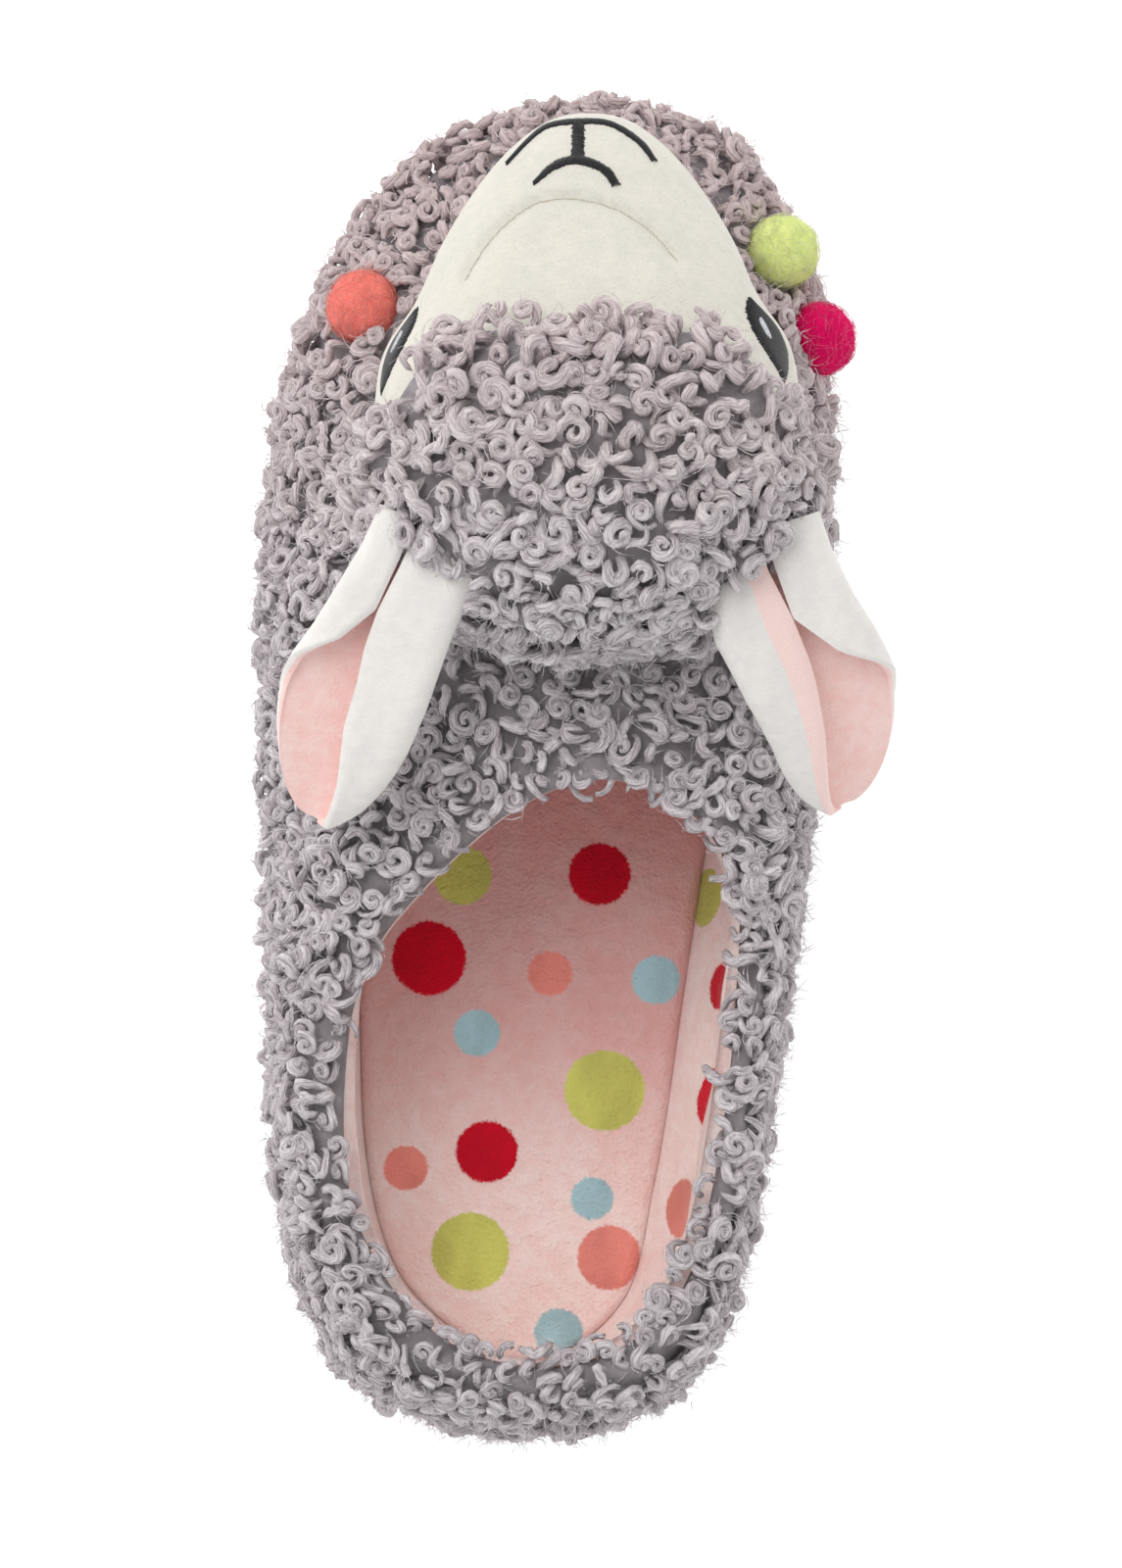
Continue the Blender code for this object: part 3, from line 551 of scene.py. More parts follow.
class Shader:
    """One material's nodes, added one by one with their settings and links."""

    def __init__(self, name: str) -> None:
        self.material = bpy.data.materials.new(name)
        self.material.use_nodes = True
        self.tree = self.material.node_tree
        self.tree.nodes.clear()
        self.principled = self.node("ShaderNodeBsdfPrincipled")
        output = self.tree.nodes.new("ShaderNodeOutputMaterial")
        self.tree.links.new(self.principled.outputs[0], output.inputs["Surface"])

    def node(self, kind: str, inputs: dict | None = None, **settings) -> bpy.types.Node:
        """Adds a node; an input given as a socket is linked and any other value is set."""
        made = self.tree.nodes.new(kind)
        for key, value in settings.items():
            setattr(made, key, value)
        for key, value in (inputs or {}).items():
            if isinstance(value, bpy.types.NodeSocket):
                self.tree.links.new(value, made.inputs[key])
            else:
                made.inputs[key].default_value = value
        return made

    def set(self, **values) -> None:
        """Sets or links the main shader's inputs, with _ for a blank in a name."""
        for key, value in values.items():
            socket = self.principled.inputs[key.replace("_", " ")]
            if isinstance(value, bpy.types.NodeSocket):
                self.tree.links.new(value, socket)
            else:
                socket.default_value = value

    def place(self) -> bpy.types.NodeSocket:
        """The point in the slipper's frame, in metres."""
        return self.node("ShaderNodeTexCoord").outputs["Object"]

    def attribute(self, name: str, output: str = "Fac") -> bpy.types.NodeSocket:
        """A value that the mesh carries."""
        return self.node("ShaderNodeAttribute", attribute_name=name).outputs[output]

    def noise(self, vector, scale: float, detail: float = 2.0, roughness: float = 0.5, output: str = "Fac"):
        """Cloudy noise; scale is in waves per unit of the vector."""
        inputs = {"Vector": vector, "Scale": scale, "Detail": detail, "Roughness": roughness}
        return self.node("ShaderNodeTexNoise", inputs).outputs[output]

    def math(self, operation: str, first, second=0.0, clamp: bool = False):
        """One sum on numbers."""
        return self.node("ShaderNodeMath", {0: first, 1: second}, operation=operation, use_clamp=clamp).outputs[0]

    def vector(self, operation: str, first, second=(0.0, 0.0, 0.0), output: str = "Vector"):
        """One sum on vectors."""
        return self.node("ShaderNodeVectorMath", {0: first, 1: second}, operation=operation).outputs[output]

    def ramp(self, value, low: float, high: float, to_low: float = 0.0, to_high: float = 1.0):
        """A soft step from to_low to to_high while the value goes from low to high."""
        inputs = {"Value": value, "From Min": low, "From Max": high, "To Min": to_low, "To Max": to_high}
        return self.node("ShaderNodeMapRange", inputs, interpolation_type="SMOOTHSTEP").outputs["Result"]

    def blend(self, share, low, high, mode: str = "MIX"):
        """A colour the share of the way from low to high."""
        made = self.node("ShaderNodeMix", data_type="RGBA", blend_type=mode)
        for index, value in ((0, share), (6, low), (7, high)):
            if isinstance(value, bpy.types.NodeSocket):
                self.tree.links.new(value, made.inputs[index])
            else:
                made.inputs[index].default_value = value
        return made.outputs[2]

    def bump(self, height, distance: float, strength: float = 1.0, normal=None):
        """A relief of the height times the distance, in metres."""
        inputs = {"Height": height, "Distance": distance, "Strength": strength}
        if normal is not None:
            inputs["Normal"] = normal
        return self.node("ShaderNodeBump", inputs).outputs["Normal"]


@dataclass(frozen=True)
class Dot:
    """One round spot of the printed plush: its centre, radius and colour."""

    centre: tuple[float, float, float]
    radius: float
    colour: str


@dataclass(frozen=True)
class PlushFinish:
    """What a short-pile plush gives the eye: colours, the size of its pile and its sheen."""

    colour: str
    shade: str
    pile: float = 0.45 * MM
    relief: float = 0.16 * MM
    roughness: float = 0.92
    # Tints multiplied in over ranges of y: painted shade for parts that get less light.
    shade_zones: tuple[tuple[float, float, str], ...] = ()
    sheen: float = 0.25
    subsurface: float = 0.0


class Finishes:
    """Makes the slipper's materials."""

    def curls(self) -> bpy.types.Material:
        """Grey-mauve curled plush: strands run along each lock, and each lock has its own tone."""
        shader = Shader("curled_plush_fibre")
        strand = shader.attribute("strand", "Vector")
        tone = shader.attribute("tone")
        fine = shader.noise(shader.vector("MULTIPLY", strand, (0.28, 2.6, 2.6)), 1.0, 2.0, 0.65)
        broad = shader.noise(shader.vector("MULTIPLY", strand, (0.22, 1.5, 1.5)), 1.0, 1.0)
        colour = shader.blend(shader.ramp(tone, 0.0, 1.0), linear("d3c8cd"), linear("f4edf1"))
        colour = shader.blend(shader.ramp(fine, 0.40, 0.62, 0.0, 0.75), colour, linear("f6f0f2"))
        colour = shader.blend(shader.ramp(fine, 0.50, 0.34, 0.0, 0.65), colour, linear("948790"))
        colour = shader.blend(shader.ramp(broad, 0.52, 0.68, 0.0, 0.55), colour, linear("f6f0f2"))
        colour = shader.blend(shader.ramp(broad, 0.48, 0.34, 0.0, 0.38), colour, linear("948790"))
        y = shader.node("ShaderNodeSeparateXYZ", {0: shader.place()}).outputs["Y"]
        colour = shader.blend(shader.ramp(y, 0.02, 0.12, 0.0, 0.45), colour, linear("d9b9b5"))
        height = shader.math("ADD", shader.math("MULTIPLY", broad, 1.3), fine)
        shader.set(
            Base_Color=colour,
            Roughness=0.8,
            Sheen_Weight=0.4,
            Sheen_Roughness=0.45,
            Sheen_Tint=linear("f3eeee"),
            Specular_IOR_Level=0.18,
            Normal=shader.bump(height, 0.6 * MM, 1.0),
        )
        return shader.material

    def undercoat(self) -> bpy.types.Material:
        """The matted ground of the curled plush, with loose fibres; its colours are darker than the locks' as painted
        shade in the gaps between them.
        """
        shader = Shader("plush_undercoat_painted_shade")
        place = shader.place()
        warped = shader.vector("ADD", place, shader.vector("SCALE", shader.noise(place, 160.0, 1.0, output="Color")))
        fibre = shader.noise(warped, 1500.0, 3.0, 0.65)
        clump = shader.noise(place, 260.0, 2.0)
        # painted shade: the ground's colours are darker than the locks' so the gaps between locks read as shaded
        colour = shader.blend(shader.ramp(clump, 0.35, 0.65), linear("beb3b9"), linear("dcd3d8"))
        colour = shader.blend(shader.ramp(fibre, 0.4, 0.65, 0.0, 0.6), colour, linear("e4dbdd"))
        shader.set(
            Base_Color=colour,
            Roughness=0.95,
            Sheen_Weight=0.2,
            Specular_IOR_Level=0.15,
            Normal=shader.bump(fibre, 0.5 * MM, 1.0),
        )
        return shader.material

    def plush(
        self, name: str, finish: PlushFinish, dots: Sequence[Dot] = (), band: str | None = None
    ) -> bpy.types.Material:
        """A short-pile plush, brushed to and fro, with printed spots if any."""
        shader = Shader(name)
        place = shader.place()
        pile = shader.noise(place, 0.8 / finish.pile, 2.0, 0.6)
        tuft = shader.noise(place, 0.16 / finish.pile, 2.0, 0.55)
        brushed = shader.noise(shader.vector("MULTIPLY", place, (1.0, 0.45, 1.0)), 90.0, 2.0, 0.5)
        mottled = shader.math("ADD", shader.math("MULTIPLY", brushed, 0.45), shader.math("MULTIPLY", tuft, 0.55))
        colour = shader.blend(shader.ramp(mottled, 0.36, 0.64), linear(finish.shade), linear(finish.colour))
        # painted shade: darker tints multiplied in over ranges of y
        if finish.shade_zones:
            y = shader.node("ShaderNodeSeparateXYZ", {0: place}).outputs["Y"]
            for low, high, shade_tint in finish.shade_zones:
                colour = shader.blend(shader.ramp(y, low, high), colour, linear(shade_tint), "MULTIPLY")
        if band:
            fray = shader.math("MULTIPLY_ADD", tuft, 0.5)
            fray.node.inputs[2].default_value = -0.25
            marked = shader.math("ADD", shader.attribute("band"), fray)
            colour = shader.blend(shader.ramp(marked, 0.35, 0.65), colour, linear(band))
        if dots:
            jag = shader.noise(place, 1.0 / (0.9 * MM), 2.0, 0.7, output="Color")
            offset = shader.vector("SUBTRACT", jag, (0.5, 0.5, 0.5))
            moved = shader.vector("MULTIPLY_ADD", offset, (1.5 * MM, 1.5 * MM, 1.5 * MM))
            shader.tree.links.new(place, moved.node.inputs[2])
            for dot in dots:
                away = shader.vector("DISTANCE", moved, dot.centre, output="Value")
                inside = shader.ramp(away, dot.radius + 0.35 * MM, dot.radius - 0.35 * MM)
                shaded = shader.blend(shader.ramp(brushed, 0.3, 0.7, 0.25, 0.0), linear(dot.colour), linear("3a1414"))
                colour = shader.blend(inside, colour, shaded)
        colour = shader.blend(shader.ramp(pile, 0.30, 0.55, 0.22, 0.0), colour, linear(finish.shade), "MULTIPLY")
        height = shader.math("ADD", shader.math("MULTIPLY", tuft, 1.6), pile)
        shader.set(
            Base_Color=colour,
            Roughness=finish.roughness,
            Sheen_Weight=finish.sheen,
            Sheen_Roughness=0.4,
            Specular_IOR_Level=0.2,
            Normal=shader.bump(height, finish.relief, 1.0),
        )
        if finish.subsurface:
            shader.set(Subsurface_Weight=finish.subsurface, Subsurface_Scale=1.5 * MM)
        return shader.material

    def felt(self, name: str, colour: str, deep: str) -> bpy.types.Material:
        """Felted fibre wound into a ball: matt, with fine tangled hairs."""
        shader = Shader(name)
        place = shader.place()
        bent = shader.vector("SCALE", shader.noise(place, 300.0, 1.0, output="Color"))
        bent.node.inputs["Scale"].default_value = 0.004
        fibre = shader.noise(shader.vector("ADD", place, bent), 2600.0, 3.0, 0.7)
        mixed = shader.blend(shader.ramp(fibre, 0.35, 0.62), linear(deep), linear(colour))
        shader.set(
            Base_Color=mixed,
            Roughness=0.9,
            Sheen_Weight=0.4,
            Sheen_Tint=linear(colour),
            Specular_IOR_Level=0.15,
            Normal=shader.bump(fibre, 0.35 * MM, 1.0),
        )
        return shader.material

    def thread(self, name: str, colour: str, light: str) -> bpy.types.Material:
        """Embroidery thread: two fine plies with a soft silky gloss."""
        shader = Shader(name)
        place = shader.place()
        ply = shader.noise(place, 2200.0, 2.0, 0.6)
        mixed = shader.blend(shader.ramp(ply, 0.4, 0.7), linear(colour), linear(light))
        shader.set(
            Base_Color=mixed,
            Roughness=0.5,
            Sheen_Weight=0.15,
            Specular_IOR_Level=0.4,
            Normal=shader.bump(ply, 0.06 * MM, 0.8),
        )
        return shader.material

    def sole_cloth(self) -> bpy.types.Material:
        """Close-woven sole cloth with fine ribs."""
        shader = Shader("sole_cloth_woven")
        place = shader.place()
        weave = shader.node(
            "ShaderNodeTexWave", {"Vector": place, "Scale": 160.0, "Distortion": 0.6, "Detail": 1.0}
        ).outputs["Fac"]
        nap = shader.noise(place, 1800.0, 2.0)
        colour = shader.blend(shader.ramp(nap, 0.3, 0.7), linear("6f686c"), linear("857e82"))
        height = shader.math("ADD", weave, nap)
        shader.set(Base_Color=colour, Roughness=0.9, Sheen_Weight=0.1, Normal=shader.bump(height, 0.18 * MM))
        return shader.material

    def grip(self) -> bpy.types.Material:
        """Soft grip dots on the sole: matt rubber."""
        shader = Shader("grip_rubber")
        mottled = shader.noise(shader.place(), 900.0, 2.0)
        colour = shader.blend(mottled, linear("5c5659"), linear("676064"))
        shader.set(Base_Color=colour, Roughness=0.6, Normal=shader.bump(mottled, 0.05 * MM))
        return shader.material


class LockShape(Enum):
    """How a lock of curled plush lies; the value is its share of all locks."""

    SNAIL = 0.56
    HOOK = 0.26
    WAVE = 0.10
    KNOB = 0.08


@dataclass(frozen=True)
class LockSizes:
    """Sizes of the curled locks and of the loose hairs on them."""

    spacing: float = 3.4 * MM
    stand: float = 4.2 * MM
    stand_spread: float = 0.8 * MM
    radius_low: float = 0.85 * MM
    radius_high: float = 1.22 * MM
    size_low: float = 0.84
    size_high: float = 1.14
    twist: float = 45.0
    hairs: int = 8
    hair_width: float = 0.20 * MM
    floor: float = 0.6 * MM
    lean: float = 0.36
    neighbour: float = 6.5 * MM
    skin: float = 0.12 * MM


class Tubes:
    """Many tapered tubes of one build, joined: paths in, vertices and strand coordinates out."""

    def __init__(self, sides: int, stations: int) -> None:
        self.sides = sides
        self.stations = stations
        bm = bmesh.new()
        spoke = bm.verts.layers.int.new("spoke")
        station = bm.verts.layers.int.new("station")
        ring = bmesh.ops.create_circle(bm, cap_ends=True, radius=1.0, segments=sides)["verts"]
        for vert in ring:
            vert[spoke] = round(math.atan2(vert.co.y, vert.co.x) / (2 * math.pi) * sides) % sides
        edges = list({edge for vert in ring for edge in vert.link_edges})
        for k in range(1, stations):
            made = bmesh.ops.extrude_edge_only(bm, edges=edges)["geom"]
            for item in made:
                if isinstance(item, bmesh.types.BMVert):
                    item[station] = k
                    item.co.z += 1.0
            edges = [item for item in made if isinstance(item, bmesh.types.BMEdge) and item.is_boundary]
        bmesh.ops.contextual_create(bm, geom=edges)
        bmesh.ops.recalc_face_normals(bm, faces=bm.faces)
        bm.verts.index_update()
        self.spoke = np.array([vert[spoke] for vert in bm.verts])
        self.station = np.array([vert[station] for vert in bm.verts])
        self.faces = [[vert.index for vert in face.verts] for face in bm.faces]
        bm.free()

    def along(
        self, paths: np.ndarray, radii: np.ndarray, twist: float = 0.0, lobes: int = 0, depth: float = 0.0
    ) -> tuple[np.ndarray, np.ndarray]:
        """Lays a tube along each path.

        Args:
            paths: tubes by stations by three.
            radii: tubes by stations.
            twist: turns of the strands in each metre.
            lobes: how many strands show in the section.
            depth: how deep the grooves between them are, as a share of the radius.

        Returns:
            Vertices, and strand coordinates in millimetres: length and place across.
        """
        tangent = np.gradient(paths, axis=1)
        tangent /= np.maximum(np.linalg.norm(tangent, axis=2, keepdims=True), 1e-12)
        side = np.cross(tangent[:, 0], np.array([0.31, 0.52, 0.79]))
        side /= np.maximum(np.linalg.norm(side, axis=1, keepdims=True), 1e-12)
        sides = [side]
        for k in range(1, self.stations):
            side = side - tangent[:, k] * np.sum(side * tangent[:, k], axis=1, keepdims=True)
            side /= np.maximum(np.linalg.norm(side, axis=1, keepdims=True), 1e-12)
            sides.append(side)
        side = np.stack(sides, axis=1)
        other = np.cross(tangent, side)
        angle = self.spoke * 2 * math.pi / self.sides
        k = self.station
        steps = np.linalg.norm(np.diff(paths, axis=1), axis=2)
        run = np.concatenate([np.zeros((len(paths), 1)), np.cumsum(steps, axis=1)], axis=1)[:, k]
        turned = angle + run * twist * 2 * math.pi
        radius = (radii[:, k] * (1 + depth * np.cos(lobes * turned)))[..., None]
        verts = paths[:, k] + (side[:, k] * np.cos(angle)[:, None] + other[:, k] * np.sin(angle)[:, None]) * radius
        shift = np.arange(len(paths))[:, None] * 7.31
        across = np.maximum(radii.max(axis=1), 1e-9)[:, None] / MM
        strand = np.stack([run / MM + shift, np.cos(turned) * across + shift, np.sin(turned) * across], axis=2)
        return verts, strand


class Joined:
    """Collects arrays of like pieces and joins them into one mesh."""

    def __init__(self) -> None:
        self.verts, self.strands, self.tones = [], [], []
        self.loops, self.starts = [], []
        self.count = 0
        self.corner = 0

    def add(self, verts: np.ndarray, faces: list[list[int]], strand: np.ndarray, tone: np.ndarray) -> None:
        """Adds copies: vertices are copies by points by three, and tone is one value for each copy."""
        copies, points = verts.shape[:2]
        flat = np.concatenate([np.array(face) for face in faces])
        sizes = np.array([len(face) for face in faces])
        shift = self.count + np.arange(copies)[:, None] * points
        self.loops.append((flat[None, :] + shift).ravel())
        first = np.concatenate([[0], np.cumsum(sizes)[:-1]])
        starts = self.corner + first[None, :] + np.arange(copies)[:, None] * len(flat)
        self.starts.append(starts.ravel())
        self.verts.append(verts.reshape(-1, 3))
        self.strands.append(strand.reshape(-1, 3))
        self.tones.append(np.repeat(tone, points))
        self.count += copies * points
        self.corner += copies * len(flat)

    def mesh(self, name: str) -> bpy.types.Mesh:
        """The joined mesh, with its strand and tone attributes."""
        mesh = bpy.data.meshes.new(name)
        verts, loops, starts = (np.concatenate(part) for part in (self.verts, self.loops, self.starts))
        mesh.vertices.add(len(verts))
        mesh.loops.add(len(loops))
        mesh.polygons.add(len(starts))
        mesh.vertices.foreach_set("co", verts.astype(np.float32).ravel())
        mesh.loops.foreach_set("vertex_index", loops.astype(np.int32))
        mesh.polygons.foreach_set("loop_start", starts.astype(np.int32))
        mesh.update(calc_edges=True)
        strand = mesh.attributes.new("strand", "FLOAT_VECTOR", "POINT")
        strand.data.foreach_set("vector", np.concatenate(self.strands).astype(np.float32).ravel())
        tone = mesh.attributes.new("tone", "FLOAT", "POINT")
        tone.data.foreach_set("value", np.concatenate(self.tones).astype(np.float32))
        mesh.validate()
        return mesh


@dataclass
class Seeds:
    """Where locks grow: points on the cloth with their outward directions."""

    points: np.ndarray
    normals: np.ndarray

    def only(self, keep: np.ndarray) -> "Seeds":
        """The seeds that keep names."""
        return Seeds(self.points[keep], self.normals[keep])

    @staticmethod
    def join(first: "Seeds", second: "Seeds") -> "Seeds":
        """Both sets as one."""
        return Seeds(
            np.concatenate([first.points, second.points]), np.concatenate([first.normals, second.normals])
        )

    @staticmethod
    def over(points: np.ndarray, normals: np.ndarray, count: int, rng: np.random.Generator) -> "Seeds":
        """Spreads candidates evenly by area over a grid of points and normals."""
        along = points[1:, :-1] - points[:-1, :-1]
        across = points[:-1, 1:] - points[:-1, :-1]
        area = np.linalg.norm(np.cross(along, across), axis=2).ravel()
        cells = rng.choice(len(area), size=count, p=area / area.sum())
        i, j = np.divmod(cells, points.shape[1] - 1)
        u, v = rng.random((2, count, 1))

        def read(grid):
            low = mix(grid[i, j], grid[i + 1, j], u)
            return mix(low, mix(grid[i, j + 1], grid[i + 1, j + 1], u), v)

        normal = read(normals)
        return Seeds(read(points), normal / np.linalg.norm(normal, axis=1, keepdims=True))

    def thinned(self, spacing: float, stand: float) -> "Seeds":
        """Keeps seeds whose locks' centres lie at least the spacing apart."""
        kept = np.zeros(len(self.points), bool)
        chosen = np.empty_like(self.points)
        count = 0
        for k, point in enumerate(self.points + self.normals * stand):
            if count and np.min(np.sum((chosen[:count] - point) ** 2, axis=1)) < spacing**2:
                continue
            chosen[count] = point
            count += 1
            kept[k] = True
        return self.only(kept)


class Curls:
    """Grows curled locks with loose hairs on seeds, clear of what lies near."""

    hair_stations = 5

    def __init__(self, sizes: LockSizes, seed: int) -> None:
        self.sizes = sizes
        self.rng = np.random.default_rng(seed)
        self.lock = Tubes(sides=5, stations=23)

    def shapes(self, count: int) -> dict[LockShape, list[np.ndarray]]:
        """Paths of each shape in millimetres: x, y and z, with +Z out of the cloth."""
        rng = self.rng
        t = np.linspace(0, 1, self.lock.stations)[None, :]

        def pick(low, high):
            return rng.uniform(low, high, (count, 1))

        hand = np.where(rng.random((count, 1)) < 0.5, -1.0, 1.0)
        rooted = -3.2 * (1 - smooth(0.0, 0.22, t))
        angle = hand * 2 * math.pi * pick(1.5, 2.1) * t
        reach = mix(pick(2.5, 3.3), pick(0.08, 0.35), t**0.85)
        snail = [reach * np.cos(angle), reach * np.sin(angle), rooted + pick(0.6, 2.0) * smooth(0.15, 1.0, t)]
        angle = hand * 2 * math.pi * pick(0.6, 1.0) * t
        reach = pick(1.6, 2.5) * (1 - 0.35 * t)
        arch = pick(0.4, 1.6) * np.sin(math.pi * t) - 1.6 * smooth(0.75, 1.0, t)
        hook = [reach * np.cos(angle), reach * np.sin(angle) * pick(0.7, 1.0), rooted + arch]
        bend = np.sin(2 * math.pi * pick(0.6, 1.1) * t)
        arch = pick(0.5, 1.3) * np.sin(math.pi * t) - 1.8 * smooth(0.8, 1.0, t)
        wave = [(t - 0.5) * pick(5.2, 7.4), hand * pick(0.9, 1.5) * bend, rooted + arch]
        angle = hand * 2 * math.pi * pick(1.1, 1.5) * t
        reach = pick(1.0, 1.4)
        knob = [(t - 0.5) * pick(2.6, 3.8), reach * np.cos(angle), 0.5 * rooted + reach * np.sin(angle) + 0.3]
        return dict(zip(LockShape, (snail, hook, wave, knob)))

    def paths(self, count: int) -> np.ndarray:
        """Lock paths in millimetres, each of a shape drawn by lot, with a little wobble."""
        made = np.stack([np.stack(np.broadcast_arrays(*axes), axis=2) for axes in self.shapes(count).values()])
        kind = self.rng.choice(len(LockShape), size=count, p=[shape.value for shape in LockShape])
        made = made[kind, np.arange(count)]
        knots = np.linspace(0, 1, 6)
        bells = np.clip(1 - np.abs(np.linspace(0, 1, self.lock.stations)[:, None] - knots) * 5, 0, None)
        return made + np.einsum("nkx,sk->nsx", self.rng.normal(0, 0.18, (count, 6, 3)), bells)

    def frames(self, normals: np.ndarray) -> np.ndarray:
        """A random frame about each normal, tilted a little: rows are the frame's axes."""
        rng = self.rng
        up = normals + np.clip(rng.normal(0, self.sizes.lean, normals.shape), -0.7, 0.7)
        up /= np.linalg.norm(up, axis=1, keepdims=True)
        side = np.cross(up, rng.normal(0, 1, normals.shape))
        side /= np.linalg.norm(side, axis=1, keepdims=True)
        return np.stack([side, np.cross(up, side), up], axis=1)

    @staticmethod
    def pushed(verts: np.ndarray, trees: Sequence[BVHTree], reach: float, skin: float) -> np.ndarray:
        """Moves points that lie in or on a neighbour just out of it."""
        flat = verts.reshape(-1, 3)
        for tree in trees:
            for k, point in enumerate(flat):
                hit, normal, _, distance = tree.find_nearest(Vector(point), reach)
                if hit is None:
                    continue
                inside = (Vector(point) - hit).dot(normal)
                if inside < skin:
                    flat[k] = hit + normal * skin
        return flat.reshape(verts.shape)

    def grow(
        self, seeds: Seeds, trees: Sequence[BVHTree] = (), scale: float = 1.0, base_tone_and_painted_light: float = 0.3
    ) -> Joined:
        """Grows one lock with its hairs on each seed."""
        s, rng = self.sizes, self.rng
        count = len(seeds.points)
        size = rng.uniform(s.size_low, s.size_high, count) * scale
        stand = (s.stand + rng.normal(0, s.stand_spread, count)) * scale
        centre = seeds.points + seeds.normals * stand[:, None]
        local = self.paths(count) * size[:, None, None] * MM
        paths = centre[:, None] + np.einsum("nsk,nkx->nsx", local, self.frames(seeds.normals))
        t = np.linspace(0, 1, self.lock.stations)[None, :]
        profile = mix(0.6, 1.0, smooth(0.0, 0.25, t)) * (1 - 0.5 * smooth(0.6, 0.95, t)) * (1 - 0.8 * smooth(0.9, 1.0, t))
        radii = rng.uniform(s.radius_low, s.radius_high, (count, 1)) * size[:, None] * profile
        radii *= 1 + rng.normal(0, 0.07, radii.shape)
        verts, strand = self.lock.along(paths, radii, s.twist)
        self.settle(verts, centre, trees)
        # tones spread at random about the given mean; a raised mean paints light onto locks that sit in brighter light
        tone = np.clip(rng.normal(base_tone_and_painted_light, 0.26, count), 0, 1)
        joined = Joined()
        joined.add(verts, self.lock.faces, strand, tone)
        owner = np.repeat(np.arange(count), s.hairs)
        verts, faces, strand = self.hairs(paths[owner], centre[owner], seeds.normals[owner])
        self.settle(verts, centre[owner], trees)
        joined.add(verts, faces, strand, np.clip(tone[owner] + 0.5, 0, 1.4))
        return joined

    def settle(self, verts: np.ndarray, centre: np.ndarray, trees: Sequence[BVHTree]) -> None:
        """Keeps locks out of their neighbours and off the floor."""
        s = self.sizes
        for tree in trees:
            near = [k for k, c in enumerate(centre) if tree.find_nearest(Vector(c), s.neighbour)[0] is not None]
            if near:
                verts[near] = self.pushed(verts[near], [tree], s.neighbour, s.skin)
        verts[..., 2] = np.maximum(verts[..., 2], s.floor)

    def hairs(self, paths: np.ndarray, centre: np.ndarray, normals: np.ndarray) -> tuple:
        """Loose hairs: ribbons that follow a stretch of their lock and spread away from it.

        Args:
            paths: the lock of each hair, hairs by stations by three.
            centre: the middle of that lock.
            normals: the way out of the cloth there.

        Returns:
            Vertices, faces and strand coordinates.
        """
        s, rng = self.sizes, self.rng
        count = len(paths)
        first = rng.integers(2, self.lock.stations - self.hair_stations, count)
        picked = first[:, None] + np.arange(self.hair_stations)[None, :]
        line = paths[np.arange(count)[:, None], picked]
        t = np.linspace(0, 1, self.hair_stations)[None, :, None]
        middle = centre[:, None]
        line = middle + (line - middle) * rng.uniform(1.0, 1.55, (count, 1, 1))
        away = rng.normal(0, 1, (count, 1, 3)) + normals[:, None] * 1.4
        away /= np.linalg.norm(away, axis=2, keepdims=True)
        line = line + away * (1.2 + rng.uniform(0.2, 2.8, (count, 1, 1)) * t**2) * MM
        tangent = np.gradient(line, axis=1)
        aside = np.cross(tangent, rng.normal(0, 0.5, (count, 1, 3)) + normals[:, None])
        aside /= np.maximum(np.linalg.norm(aside, axis=2, keepdims=True), 1e-12)
        half = aside * s.hair_width / 2 * (1 - 0.7 * t)
        verts = np.stack([line - half, line + half], axis=2).reshape(count, -1, 3)
        faces = [[2 * k, 2 * k + 1, 2 * k + 3, 2 * k + 2] for k in range(self.hair_stations - 1)]
        return verts, faces, verts / MM


@dataclass(frozen=True)
class LiningSizes:
    """How the soft lining lies in the slipper."""

    insole_top: float = 14.3 * MM
    sag_medial: float = 4.6 * MM
    sag_lateral: float = 1.6 * MM
    sag_height: float = 15 * MM
    lip: float = 1.1 * MM
    low: float = 11.5 * MM


